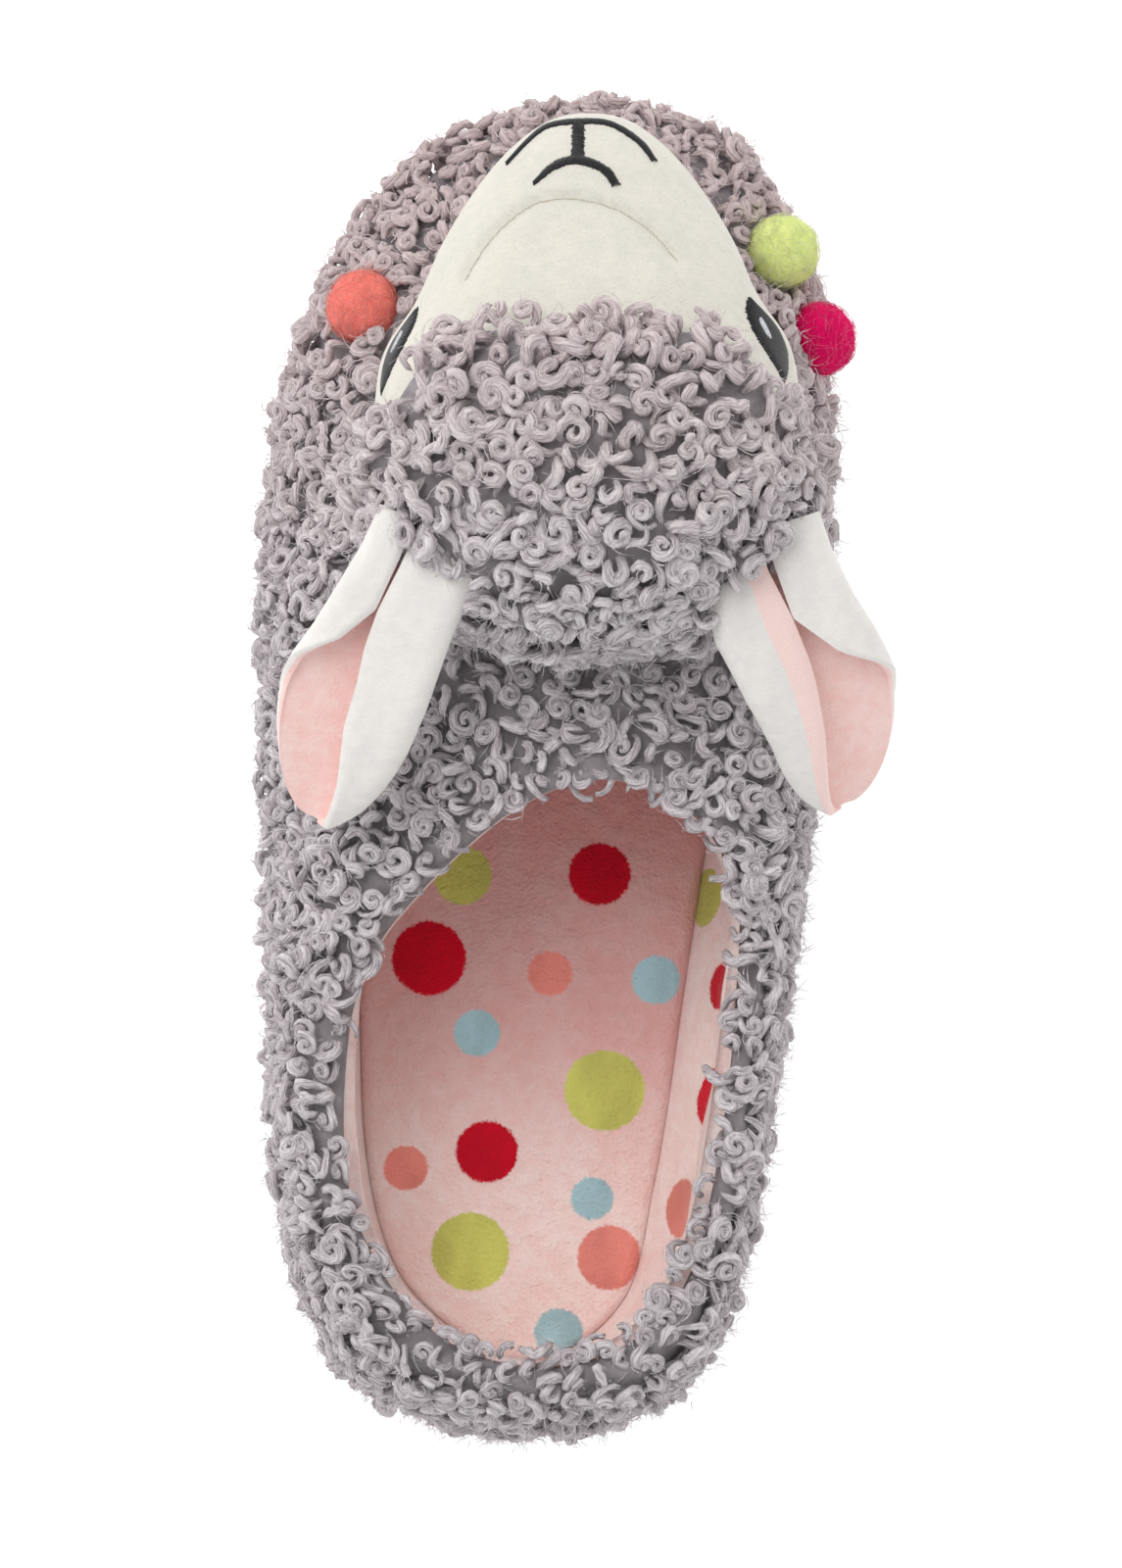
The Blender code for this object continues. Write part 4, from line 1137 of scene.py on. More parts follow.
class Interior:
    """The lined inside: its wall with the sag at the foot, and the insole's edge."""

    def __init__(self, wall: Wall, sizes: LiningSizes) -> None:
        self.wall = wall
        self.sizes = sizes

    def sag(self, where) -> np.ndarray:
        """How far the lining's foot bulges in at a knot number."""
        where = np.mod(where, self.wall.count)
        medial = where < TOE_KNOT
        from_heel = np.where(medial, where, self.wall.count - where)
        along = smooth(0.3, 3.0, from_heel) * (1 - smooth(6.5, 9.0, from_heel))
        side = np.where(medial, self.sizes.sag_medial, self.sizes.sag_lateral)
        return 1.2 * MM * (1 - smooth(6.5, 9.0, from_heel)) + side * along

    def inward(self, where) -> np.ndarray:
        """The direction into the slipper, in plan."""
        return -self.wall.outward(where)

    def lining(self, where, rise) -> np.ndarray:
        """A point of the lining."""
        where, rise = np.broadcast_arrays(np.asarray(where, float), np.asarray(rise, float))
        point = self.wall.inner(where, rise).copy()
        over = point[..., 2] - self.sizes.insole_top - self.wall.spring(point[..., 1])
        share = 1 - smooth(-2 * MM, self.sizes.sag_height, over)
        point[..., :2] += self.inward(where) * (self.sag(where) * share)[..., None]
        return point

    def at_height(self, where: np.ndarray, height: float) -> np.ndarray:
        """The lining's points at a height over the floor."""
        rises = np.linspace(0, 0.6, 80)
        made = []
        for w in np.atleast_1d(where):
            line = self.lining(np.full(80, w), rises)
            over = line[:, 2] - self.wall.spring(line[:, 1])
            made.append([np.interp(height, over, line[:, k]) for k in range(3)])
        return np.array(made)

    def rise_at(self, where: np.ndarray, height: float) -> np.ndarray:
        """The share of the way up where the lining is at a height over the floor."""
        rises = np.linspace(0, 0.6, 80)
        lines = [self.lining(np.full(80, w), rises) for w in where]
        return np.array([np.interp(height, line[:, 2] - self.wall.spring(line[:, 1]), rises) for line in lines])


RED, CORAL, LIME, BLUE = "dc0a2c", "f79a8e", "dfe67a", "b4dfe9"

# Spots printed on the insole: x, y and radius in millimetres, and colour.
INSOLE_DOTS = (
    (9.8, -21.2, 6.3, RED),
    (-23.8, -39.7, 7.5, RED),
    (0.7, -41.6, 4.5, CORAL),
    (-13.4, -54.3, 4.7, BLUE),
    (22.2, -41.9, 4.9, BLUE),
    (12.8, -64.7, 8.1, LIME),
    (-10.3, -78.1, 6.3, RED),
    (-26.5, -82.2, 4.5, CORAL),
    (11.3, -86.5, 4.3, BLUE),
    (-12.7, -98.4, 7.9, LIME),
    (15.4, -98.4, 6.5, CORAL),
    (5.8, -113.9, 4.9, BLUE),
    (-17.8, -22.7, 5.9, LIME),
    (-6.0, 8.0, 7.0, CORAL),
    (20.0, 22.0, 6.0, BLUE),
    (-22.0, 34.0, 7.5, LIME),
    (4.0, 52.0, 6.5, RED),
)
# Spots printed on the lining: x, y, z and radius in millimetres, and colour.
LINING_DOTS = (
    (-36.5, -52.0, 32.0, 5.0, BLUE),
    (-33.2, -90.2, 40.0, 4.6, BLUE),
    (27.0, -13.0, 24.0, 6.5, RED),
    (30.5, -24.8, 16.0, 6.0, LIME),
    (33.4, -41.9, 26.5, 5.2, RED),
    (33.5, -64.5, 28.5, 6.3, RED),
    (28.5, -87.1, 24.0, 6.0, CORAL),
    (6.0, -117.0, 34.0, 5.5, LIME),
    (-20.0, -110.0, 30.0, 5.0, CORAL),
    (-37.0, -70.0, 38.0, 6.0, LIME),
    (-36.0, -34.0, 40.0, 6.0, CORAL),
    (34.0, -54.0, 42.0, 5.0, LIME),
)


class Slipper:
    """The soft slipper: curled plush outside, printed plush inside, sole and insole."""

    around, rows = 300, 40

    def __init__(self, wall: Wall, interior: Interior, finishes: Finishes) -> None:
        self.wall = wall
        self.interior = interior
        self.finishes = finishes
        self.places = wall.even_places(self.around)
        self.ring = np.append(self.places, self.places[0])

    def smooth_tree(self) -> BVHTree:
        """A search tree of the wall without curls."""
        where, rise = np.meshgrid(self.ring[::3], np.linspace(0, 1, 30), indexing="ij")
        return MeshMaker.tree(MeshMaker.grid(self.wall.outer(where, rise)))

    @staticmethod
    def swell(normals: np.ndarray) -> np.ndarray:
        """How much deeper the coat is where the wall faces the outer side, the inner side or the heel."""
        x, y = normals[..., 0], normals[..., 1]
        lateral = 4.3 * MM * smooth(0.15, 0.75, -x)
        medial = 2.0 * MM * smooth(0.15, 0.75, x)
        heel = 2.9 * MM * smooth(0.2, 0.8, -y)
        return lateral + medial + heel

    def ground(self) -> bpy.types.Object:
        """The matted ground of the plush, from under the sole's edge to the collar."""
        where, rise = np.meshgrid(self.ring, np.linspace(0, 1, self.rows), indexing="ij")
        points = self.wall.outer(where, rise)
        normals = self.wall.normal(where, rise)
        lumps = np.array([noise.noise(Vector(p) / (5 * MM)) for p in points.reshape(-1, 3)])
        fine = np.array([noise.noise(Vector(p) / (1.6 * MM)) for p in points.reshape(-1, 3)])
        stand = (2.7 * MM + 0.9 * MM * lumps + 0.6 * MM * fine).reshape(where.shape) + 0.6 * self.swell(normals)
        at_toe = smooth(0.104, 0.126, points[..., 1]) * np.clip(normals[..., 1], 0, 1)
        stand = stand + 3.8 * MM * at_toe
        stand = np.clip(stand, 0.3 * MM, None) * np.clip(smooth(0.0, 0.05, rise) + 0.35, 0, 1)
        points = points + normals * stand[..., None]
        inward = np.concatenate([-self.wall.outward(self.ring), np.zeros((len(self.ring), 1))], axis=1)
        tucked = points[:, 0] + inward * 3 * MM
        middle = self.rim_middle() - np.array([0, 0, 0.5 * MM])
        points = np.concatenate([tucked[:, None], points, middle[:, None]], axis=1)
        points[-1] = points[0]
        bm = MeshMaker.grid(points)
        return MeshMaker.piece("plush_ground", bm, self.finishes.undercoat(), "curly_plush", ["upper"], False)

    def rim_middle(self) -> np.ndarray:
        """The top of the collar's rolled edge."""
        top = (self.wall.outer(self.ring, 1.0) + self.wall.inner(self.ring, 1.0)) / 2
        return top + np.array([0, 0, self.interior.sizes.lip])

    def lining(self) -> bpy.types.Object:
        """The printed lining: over the rolled edge, down the wall and out onto the insole's edge."""
        count = 44
        low = self.interior.rise_at(self.ring, self.interior.sizes.low)
        share = np.linspace(0, 1, count) ** 0.9
        where = np.repeat(self.ring[:, None], count, axis=1)
        rise = mix(np.ones_like(low)[:, None], low[:, None], share[None, :])
        points = self.interior.lining(where, rise)
        inward = np.concatenate([self.interior.inward(where), np.zeros((*where.shape, 1))], axis=2)
        folds = np.array([noise.noise(Vector(p) / (11 * MM)) for p in points.reshape(-1, 3)]).reshape(where.shape)
        fade = smooth(0.0, 0.25, share) * (1 - smooth(0.8, 1.0, share))
        points = points + inward * (1.1 * MM * folds * fade)[..., None]
        points = np.concatenate([self.rim_middle()[:, None], points], axis=1)
        points[-1] = points[0]
        dots = [Dot((x * MM, y * MM, z * MM), r * MM, colour) for x, y, z, r, colour in LINING_DOTS]
        finish = PlushFinish("fff1ee", "fde5e1", pile=0.55 * MM, relief=0.30 * MM)
        material = self.finishes.plush("lining_printed_plush", finish, dots)
        bm = MeshMaker.grid(points)
        piece = MeshMaker.piece("lining", bm, material, "spotted_plush", ["upper"], False)
        return piece

    def insole(self) -> bpy.types.Object:
        """The padded insole: domed, with edges rolled down inside the lining."""
        sizes = self.interior.sizes
        along = 150
        stations = np.linspace(0, TOE_KNOT, along + 1)
        medial = self.interior.at_height(stations, sizes.insole_top - 1.5 * MM)
        lateral = self.interior.at_height(np.mod(self.wall.count - stations, self.wall.count), sizes.insole_top - 1.5 * MM)
        half = np.linalg.norm(medial[:, :2] - lateral[:, :2], axis=1) / 2
        shares = 0.5 - 0.5 * np.cos(np.linspace(0, math.pi, 45))
        edge = 3.2 * MM
        bottom = frame_floor = 7.4 * MM
        rings = [(s, True) for s in shares] + [(s, False) for s in shares[::-2]]
        grid = np.empty((len(rings) + 1, along + 1, 3))
        for k, (share, top) in enumerate(rings):
            plan = mix(lateral[:, :2], medial[:, :2], share)
            from_edge = np.minimum(share, 1 - share) * 2 * half
            y_ends = np.minimum(np.abs(plan[:, 1] - lateral[0, 1]), np.abs(plan[:, 1] - lateral[-1, 1]))
            near = np.clip(np.minimum(from_edge, y_ends + 0.2 * MM) / edge, 0, 1)
            roll = np.sqrt(np.clip(1 - (1 - near) ** 2, 0, 1))
            if top:
                soft = np.array([noise.noise(Vector((*p, 0.0)) / (17 * MM)) for p in plan])
                height = mix(sizes.insole_top - edge * 0.9, sizes.insole_top + 0.5 * MM, roll) + 0.45 * MM * soft * near
                height = height + 0.8 * MM * smooth(0, 1, np.clip(from_edge / (22 * MM), 0, 1))
            else:
                height = np.full(along + 1, bottom)
            grid[k] = np.concatenate([plan, (height + self.wall.spring(plan[:, 1]))[:, None]], axis=1)
        grid[-1] = grid[0]
        dots = [Dot((x * MM, y * MM, 15 * MM), r * MM, colour) for x, y, r, colour in INSOLE_DOTS]
        # painted shade: the insole's middle and toe are tinted darker and redder than the heel, as the head and the
        # throat shade them
        shade_zones = ((-0.095, -0.045, "e8caca"), (-0.03, 0.0, "fff0ef"))
        finish = PlushFinish("fff0ec", "fde2de", pile=0.6 * MM, relief=0.5 * MM, shade_zones=shade_zones)
        material = self.finishes.plush("insole_printed_plush", finish, dots)
        piece = MeshMaker.piece("insole_pad", MeshMaker.grid(grid), material, "spotted_plush", ["insole"])
        return piece

    def sole(self) -> list[bpy.types.Object]:
        """The cloth sole with its rounded edge, and the grip dots under it."""
        tuck = self.wall.sizes.tuck
        edge, low, high = 2.0 * MM, 0.45 * MM, 6.9 * MM
        stations = np.linspace(0, TOE_KNOT, 121)
        sides = []
        for where in (stations, np.mod(self.wall.count - stations, self.wall.count)):
            sides.append(self.wall.edge(where) - self.wall.outward(where) * tuck)
        medial, lateral = sides
        middle = (medial + lateral) / 2
        turns = np.linspace(0, math.pi / 2, 6)
        ring = [(1 - edge_share, low) for edge_share in np.linspace(1, 0.1, 14)]
        rows = []
        for side in (medial, lateral):
            out = side - middle
            length = np.maximum(np.linalg.norm(out, axis=1, keepdims=True), 1e-9)
            rows.append([side - out / length * np.minimum(edge * (1 - math.sin(t)), length) for t in turns])
        heights = [low + edge * (1 - math.cos(t)) for t in turns]
        profile = [(rows[1][k], heights[k]) for k in range(6)]
        profile += [(rows[1][k], high - edge * (1 - math.cos(turns[k]))) for k in reversed(range(6))]
        profile += [(rows[0][k], high - edge * (1 - math.cos(turns[k]))) for k in range(6)]
        profile += [(rows[0][k], heights[k]) for k in reversed(range(6))]
        profile += [(mix(rows[0][0], rows[1][0], share), low) for share in np.linspace(0, 1, 20)[1:]]
        grid = np.empty((len(profile), len(stations), 3))
        for k, (plan, height) in enumerate(profile):
            grid[k] = np.concatenate([plan, (height + self.wall.spring(plan[:, 1]))[:, None]], axis=1)
        del ring
        cloth = MeshMaker.piece(
            "sole_cloth", MeshMaker.grid(grid), self.finishes.sole_cloth(), "sole_cloth", ["outsole"]
        )
        return [cloth, self.grips(low)]

    def grips(self, low: float) -> bpy.types.Object:
        """Small grip dots in staggered rows under the sole."""
        pitch, radius = 6.0 * MM, 1.5 * MM
        bm = bmesh.new()
        bmesh.ops.create_uvsphere(bm, u_segments=7, v_segments=4, radius=radius)
        under = [vert for vert in bm.verts if vert.co.z > 0.1 * radius]
        bmesh.ops.delete(bm, geom=under, context="VERTS")
        bmesh.ops.holes_fill(bm, edges=bm.edges, sides=0)
        bmesh.ops.scale(bm, vec=(1, 1, (low - 0.02 * MM) / radius), verts=bm.verts)
        bm.verts.index_update()
        shape = np.array([vert.co[:] for vert in bm.verts])
        faces = [[vert.index for vert in face.verts] for face in bm.faces]
        bm.free()
        outline = self.wall.edge(self.wall.even_places(160)) * 1.0
        centres = []
        for row, y in enumerate(np.arange(-self.wall.length / 2, self.wall.length / 2, pitch * 0.866)):
            for x in np.arange(-60 * MM, 60 * MM, pitch) + (row % 2) * pitch / 2:
                inside = self.inside(outline, x, y)
                gap = np.min(np.linalg.norm(outline - (x, y), axis=1))
                if inside and gap > 9 * MM:
                    centres.append((x, y, low + float(self.wall.spring(y))))
        verts = shape[None] + np.array(centres)[:, None]
        joined = Joined()
        joined.add(verts, faces, np.zeros_like(verts), np.zeros(len(centres)))
        return MeshMaker.add("sole_grips", joined.mesh("sole_grips"), self.finishes.grip(), "sole_cloth")

    @staticmethod
    def inside(outline: np.ndarray, x: float, y: float) -> bool:
        """Whether a point lies inside a closed outline."""
        a, b = outline, np.roll(outline, -1, axis=0)
        cross = (a[:, 1] > y) != (b[:, 1] > y)
        at = a[:, 0] + (y - a[:, 1]) / np.where(b[:, 1] == a[:, 1], 1, b[:, 1] - a[:, 1]) * (b[:, 0] - a[:, 0])
        return bool(np.count_nonzero(cross & (x < at)) % 2)

    def seeds(self, rng: np.random.Generator, count: int) -> Seeds:
        """Candidate seeds over the wall and along the collar's rolled edge."""
        where, rise = np.meshgrid(self.ring[::2], np.linspace(0.0, 1, 50), indexing="ij")
        side = Seeds.over(self.wall.outer(where, rise), self.wall.normal(where, rise), count, rng)
        where = rng.uniform(0, self.wall.count, count // 6)
        inward = np.concatenate([-self.wall.outward(where), np.zeros((len(where), 1))], axis=1)
        lean = rng.uniform(-0.9, 0.8, (len(where), 1))
        normal = inward * lean + np.array([0, 0, 1.0])
        normal /= np.linalg.norm(normal, axis=1, keepdims=True)
        rim = Seeds(self.wall.outer(where, 1.0) + inward * 1.2 * MM - np.array([0, 0, 1.2 * MM]), normal)
        both = Seeds.join(rim, side)
        return both


class Lama:
    """The stuffed head: face, crown, ears, eyes and embroidery."""

    def __init__(self, head: Head, wall_tree: BVHTree, finishes: Finishes) -> None:
        self.head = head
        self.wall_tree = wall_tree
        self.finishes = finishes
        self.eye_trees: list[BVHTree] = []
        self.eye_plans: list[np.ndarray] = []

    def lifted(self, points: np.ndarray, gap: float) -> np.ndarray:
        """Raises points that would sink into the wall."""
        flat = points.reshape(-1, 3).copy()
        for k, p in enumerate(flat):
            hit, _, _, _ = self.wall_tree.ray_cast(Vector((p[0], p[1], 1.0)), Vector((0, 0, -1)))
            if hit is not None and p[2] < hit.z + gap:
                flat[k, 2] = hit.z + gap
        return flat.reshape(points.shape)

    def surface(self, columns: int, rows: int, offset: float = 0.0) -> np.ndarray:
        """A grid of points over the whole head."""
        angle, row = np.meshgrid(
            np.linspace(0, 2 * math.pi, columns + 1), np.linspace(0, self.head.table.last, rows + 1), indexing="ij"
        )
        points = self.head.point(row, angle)
        if offset:
            points = points + self.head.normal(np.clip(row, 0.05, self.head.table.last - 0.05), angle) * offset
        points[-1] = points[0]
        return points

    def face_bmesh(self) -> bmesh.types.BMesh:
        """The face's closed form, with the muzzle's seam pressed in."""
        points = self.surface(124, 100)
        points = self.swell_cheeks(self.press_seam(points))
        return MeshMaker.grid(self.lifted(points, self.head.sizes.seat))

    def press_seam(self, points: np.ndarray) -> np.ndarray:
        """Draws the cloth in along the muzzle's seam, and lets it swell beside it."""
        seam = smooth_line(MUZZLE_SEAM, 80) * MM
        flat = points.reshape(-1, 3)
        top = flat[:, 2] > self.head.sizes.base + 5 * MM
        away = np.min(np.linalg.norm(flat[:, None, :2] - seam[None], axis=2), axis=1)
        depth = 2.0 * MM * np.exp(-((away / (1.2 * MM)) ** 2)) - 0.8 * MM * np.exp(-((away / (5 * MM)) ** 2))
        flat[:, 2] -= np.where(top, depth, 0)
        return flat.reshape(points.shape)

    def swell_cheeks(self, points: np.ndarray) -> np.ndarray:
        """Swells the head outward a little below each eye."""
        made = points.copy()
        for side, along, up_angle, _, _ in EYES.values():
            low = math.radians(up_angle - 13)
            angle = low if side > 0 else math.pi - low
            row = float(self.head.row(along))
            middle = self.head.point(row, angle)
            out = self.head.normal(row, angle)
            away = np.linalg.norm((points - middle) * (1.0, 0.6, 1.0), axis=2)
            made += out * (CHEEK * np.exp(-((away / (7 * MM)) ** 2)))[..., None]
        return made


CHEEK = 2.2 * MM
MUZZLE_SEAM = ((-21.5, 91.0), (-17.8, 98.2), (-13.3, 103.7), (-8.2, 107.3), (-0.7, 108.2), (6.8, 106.3), (13.2, 102.3), (18.5, 96.5))


def smooth_line(points: Sequence[Sequence[float]], count: int) -> np.ndarray:
    """A smooth open curve through points, evenly read."""
    knots = np.array(points, float)
    ends = np.concatenate([[2 * knots[0] - knots[1]], knots, [2 * knots[-1] - knots[-2]]])
    span = np.maximum(np.linalg.norm(np.diff(ends[:, :2], axis=0), axis=1), 1e-6)
    made = []
    for k in range(1, len(ends) - 2):
        for share in np.linspace(0, 1, 24, endpoint=False):
            made.append(hermite(*ends[k - 1 : k + 3], span[k - 1 : k + 2], share))
    made.append(ends[-2])
    made = np.array(made)
    run = np.concatenate([[0], np.cumsum(np.linalg.norm(np.diff(made[:, :2], axis=0), axis=1))])
    even = np.linspace(0, run[-1], count)
    return np.stack([np.interp(even, run, made[:, k]) for k in range(made.shape[1])], axis=1)


# Embroidery in plan, in millimetres: x, y and width along each line of the mouth.
MOUTH_LINES = (
    (
        (-14.9, 115.6, 0.3),
        (-10.2, 121.7, 0.7),
        (-7.3, 124.1, 1.0),
        (-1.5, 125.1, 1.2),
        (4.5, 124.9, 1.1),
        (10.5, 121.2, 1.1),
        (13.5, 117.2, 0.8),
    ),
    ((-1.5, 124.9, 2.3), (-1.3, 116.8, 2.5)),
    (
        (-9.5, 111.1, 0.5),
        (-5.8, 115.0, 1.5),
        (-1.4, 116.5, 1.8),
        (4.0, 114.6, 1.6),
        (6.4, 111.3, 1.5),
    ),
)
# Each eye: side, share of the head's length, angle up, and where its light spot lies along and across.
EYES = {
    "eye_lateral": (-1, 0.520, 11.0, 0.10, 0.30),
    "eye_medial": (1, 0.540, 22.0, 0.15, 0.34),
}


class LlamaHead(Lama):
    """Builds the head's pieces."""

    def face(self) -> bpy.types.Object:
        """The white plush head."""
        bm = self.face_bmesh()
        bmesh.ops.recalc_face_normals(bm, faces=bm.faces)
        self.face_tree = BVHTree.FromBMesh(bm)
        finish = PlushFinish("e3dfd5", "dcd9d0", pile=0.45 * MM, relief=0.20 * MM, sheen=0.2)
        material = self.finishes.plush("white_short_plush", finish)
        piece = MeshMaker.piece("face_plush", bm, material, "white_plush", ["face"])
        return piece

    def crown(self) -> bpy.types.Object:
        """The matted ground of the crown's plush."""
        columns, rows = 150, 46
        angle = np.linspace(math.radians(-62), math.radians(242), columns + 1)[:, None]
        edge = self.head.crown_edge(angle)
        share = np.linspace(0.004, 1, rows + 1)[None, :]
        row = edge * share
        angle = np.broadcast_to(angle, row.shape)
        points = self.head.point(row, angle)
        normals = self.head.normal(row, angle)
        lumps = np.array([noise.noise(Vector(p) / (5 * MM)) for p in points.reshape(-1, 3)]).reshape(row.shape)
        stand = (2.8 + 0.9 * lumps) * MM * (1 - smooth(0.94, 1.0, share)) - 0.3 * MM * smooth(0.97, 1.0, share)
        points = self.lifted(points + normals * stand[..., None], 1.2 * MM)
        piece = MeshMaker.piece(
            "crown_ground", MeshMaker.grid(points), self.finishes.undercoat(), "crown_plush", ["crown"]
        )
        return piece

    def bare_tree(self) -> BVHTree:
        """A search tree of the crown's smooth surface."""
        return MeshMaker.tree(MeshMaker.grid(self.surface(60, 60, self.head.sizes.crown)))

    def crown_seeds(self, rng: np.random.Generator, count: int) -> Seeds:
        """Candidate seeds over the crown."""
        angle = np.linspace(math.radians(-60), math.radians(240), 121)[:, None]
        edge = self.head.crown_edge(angle)
        row = edge * np.linspace(0.02, 1.0, 41)[None, :]
        angle = np.broadcast_to(angle, row.shape)
        points = self.head.point(row, angle)
        normals = self.head.normal(row, angle)
        return Seeds.over(points, normals, count, rng)

    def eye(self, name: str) -> list[bpy.types.Object]:
        """An almond of black satin stitch with its light spot."""
        side, along_head, up_angle, spot_along, spot_across = EYES[name]
        angle = math.radians(up_angle if side > 0 else 180 - up_angle)
        row = float(self.head.row(along_head))
        centre = Vector(self.head.point(row, angle))
        out = Vector(self.head.normal(row, angle))
        ahead = self.head.point(row + 0.1, angle) - self.head.point(row - 0.1, angle)
        forward = Vector(ahead).normalized()
        rising = out.cross(forward).normalized() * side
        length, width = 18 * MM, 10 * MM

        def on_face(along: float, across: float, stand: float) -> Vector:
            flat = centre + forward * along + rising * across
            hit, normal, _, _ = self.face_tree.ray_cast(flat + out * length, -out)
            return hit + normal * stand

        def almond(along: float) -> float:
            return max(0.02, 1 - abs(along) ** 2.2) * width / 2

        columns, rows = 60, 24
        points = np.empty((columns + 1, rows + 1, 3))
        for i in range(columns + 1):
            along = 2 * i / columns - 1
            for j in range(rows + 1):
                across = 2 * j / rows - 1
                dome = math.sqrt(max(0.0, 1 - across * across)) * math.sqrt(max(0.0, 1 - along * along))
                points[i, j] = on_face(along * length / 2, across * almond(along), 0.1 * MM + 0.55 * MM * dome)
        black = self.finishes.thread("black_thread_" + name, "121214", "2c2c31")
        bm = MeshMaker.grid(points)
        self.eye_trees.append(BVHTree.FromBMesh(bm))
        self.eye_plans.append(points[::4, ::6, :2].reshape(-1, 2))
        pad = MeshMaker.piece(name + "_pad", bm, black, "eye_thread", [name])
        paths, radii = [], []
        rng = np.random.default_rng(7 + side)
        count = int(length / (0.34 * MM))
        for k in range(count):
            along = 2 * (k + 0.5) / count - 1
            half = almond(along)
            reach = (-half - rng.uniform(0.1, 0.5) * MM, half + rng.uniform(0.1, 0.9) * MM)
            line = []
            for share in np.linspace(0, 1, 9):
                across = mix(*reach, share)
                slant = (share - 0.5) * 1.2 * MM
                dome = math.sqrt(max(0.0, 1 - min(1.0, abs(across / half)) ** 2)) * math.sqrt(max(0.0, 1 - along**2))
                lift = (0.12 + 0.62 * dome) * MM if 0 < share < 1 else -0.1 * MM
                line.append(on_face(along * length / 2 + slant, across, lift))
            paths.append(line)
            radii.append([0.16 * MM] * 9)
        tube = Tubes(5, 9)
        verts, strand = tube.along(np.array(paths), np.array(radii))
        joined = Joined()
        joined.add(verts, tube.faces, strand, np.zeros(len(verts)))
        stitches = MeshMaker.add(name + "_stitches", joined.mesh(name + "_stitches"), black, "eye_thread")
        paths = []
        for k in range(13):
            along = (k / 12 - 0.5) * 4.4 * MM + spot_along * length / 2
            half = (0.75 * math.sqrt(max(0.0, 1 - (k / 6 - 1) ** 2)) + 0.12) * MM
            line = []
            for share in np.linspace(0, 1, 9):
                across = mix(-half, half, share) + spot_across * width / 2
                lift = (0.72 + 0.28 * math.sin(math.pi * share)) * MM if 0 < share < 1 else 0.35 * MM
                line.append(on_face(along, across, lift))
            paths.append(line)
        verts, strand = tube.along(np.array(paths), np.full((13, 9), 0.19 * MM))
        joined = Joined()
        joined.add(verts, tube.faces, strand, np.zeros(len(verts)))
        pale = self.finishes.thread("pale_thread_" + name, "c9ccd4", "eceef2")
        spot = MeshMaker.add(name + "_spot", joined.mesh(name + "_spot"), pale, "eye_thread")
        return [pad, stitches, spot]

    def mouth(self) -> bpy.types.Object:
        """The mouth and nose lines in satin stitch."""
        rng = np.random.default_rng(11)
        pitch = 0.34 * MM
        paths = []
        for line in MOUTH_LINES:
            curve = smooth_line(line, 400)
            run = np.concatenate([[0], np.cumsum(np.linalg.norm(np.diff(curve[:, :2], axis=0), axis=1))])
            count = int(run[-1] * MM / pitch)
            for k in range(count):
                at = (k + 0.5) / count * run[-1]
                x, y, width = (float(np.interp(at, run, curve[:, c])) * MM for c in range(3))
                ahead = [float(np.interp(at + 0.2, run, curve[:, c])) * MM for c in range(2)]
                along = Vector((ahead[0] - x, ahead[1] - y, 0)).normalized()
                across = Vector((-along.y, along.x, 0))
                stitch = []
                half = width / 2 * rng.uniform(0.88, 1.22)
                for share in np.linspace(0, 1, 9):
                    flat = Vector((x, y, 0)) + across * mix(-half, half, share) + along * (share - 0.5) * 0.5 * MM
                    hit, normal, _, _ = self.face_tree.ray_cast(Vector((flat.x, flat.y, 1)), Vector((0, 0, -1)))
                    rise = 0.10 * MM + 0.42 * MM * math.sin(math.pi * share) if 0 < share < 1 else -0.15 * MM
                    stitch.append(hit + normal * rise)
                paths.append(stitch)
        tube = Tubes(5, 9)
        paths = np.array(paths)
        verts, strand = tube.along(paths, np.full(paths.shape[:2], 0.19 * MM))
        joined = Joined()
        joined.add(verts, tube.faces, strand, np.zeros(len(verts)))
        black = self.finishes.thread("black_thread_mouth", "0f0f11", "2a2a2f")
        return MeshMaker.add("mouth_stitches", joined.mesh("mouth_stitches"), black, "eye_thread")

    def seam(self) -> bpy.types.Object:
        """Small stitches of darker cream thread along the muzzle's seam: a painted shade line for the crease along the
        seam.
        """
        curve = smooth_line(MUZZLE_SEAM, 70) * MM
        paths = []
        for (x, y), (next_x, next_y) in zip(curve[:-1], curve[1:]):
            stitch = []
            for share in np.linspace(0.12, 0.88, 5):
                above = Vector((mix(x, next_x, share), mix(y, next_y, share), 1))
                hit, normal, _, _ = self.face_tree.ray_cast(above, Vector((0, 0, -1)))
                stitch.append(hit + normal * (0.10 * MM if 0.2 < share < 0.8 else -0.12 * MM))
            paths.append(stitch)
        tube = Tubes(5, 5)
        paths = np.array(paths)
        verts, strand = tube.along(paths, np.full(paths.shape[:2], 0.16 * MM))
        joined = Joined()
        joined.add(verts, tube.faces, strand, np.zeros(len(verts)))
        # painted shade: the thread's darker cream stands in for the shade in the seam's crease
        cream = self.finishes.thread("seam_thread_painted_shade", "c4bdae", "dcd6c9")
        return MeshMaker.add("muzzle_seam", joined.mesh("muzzle_seam"), cream, "white_plush")

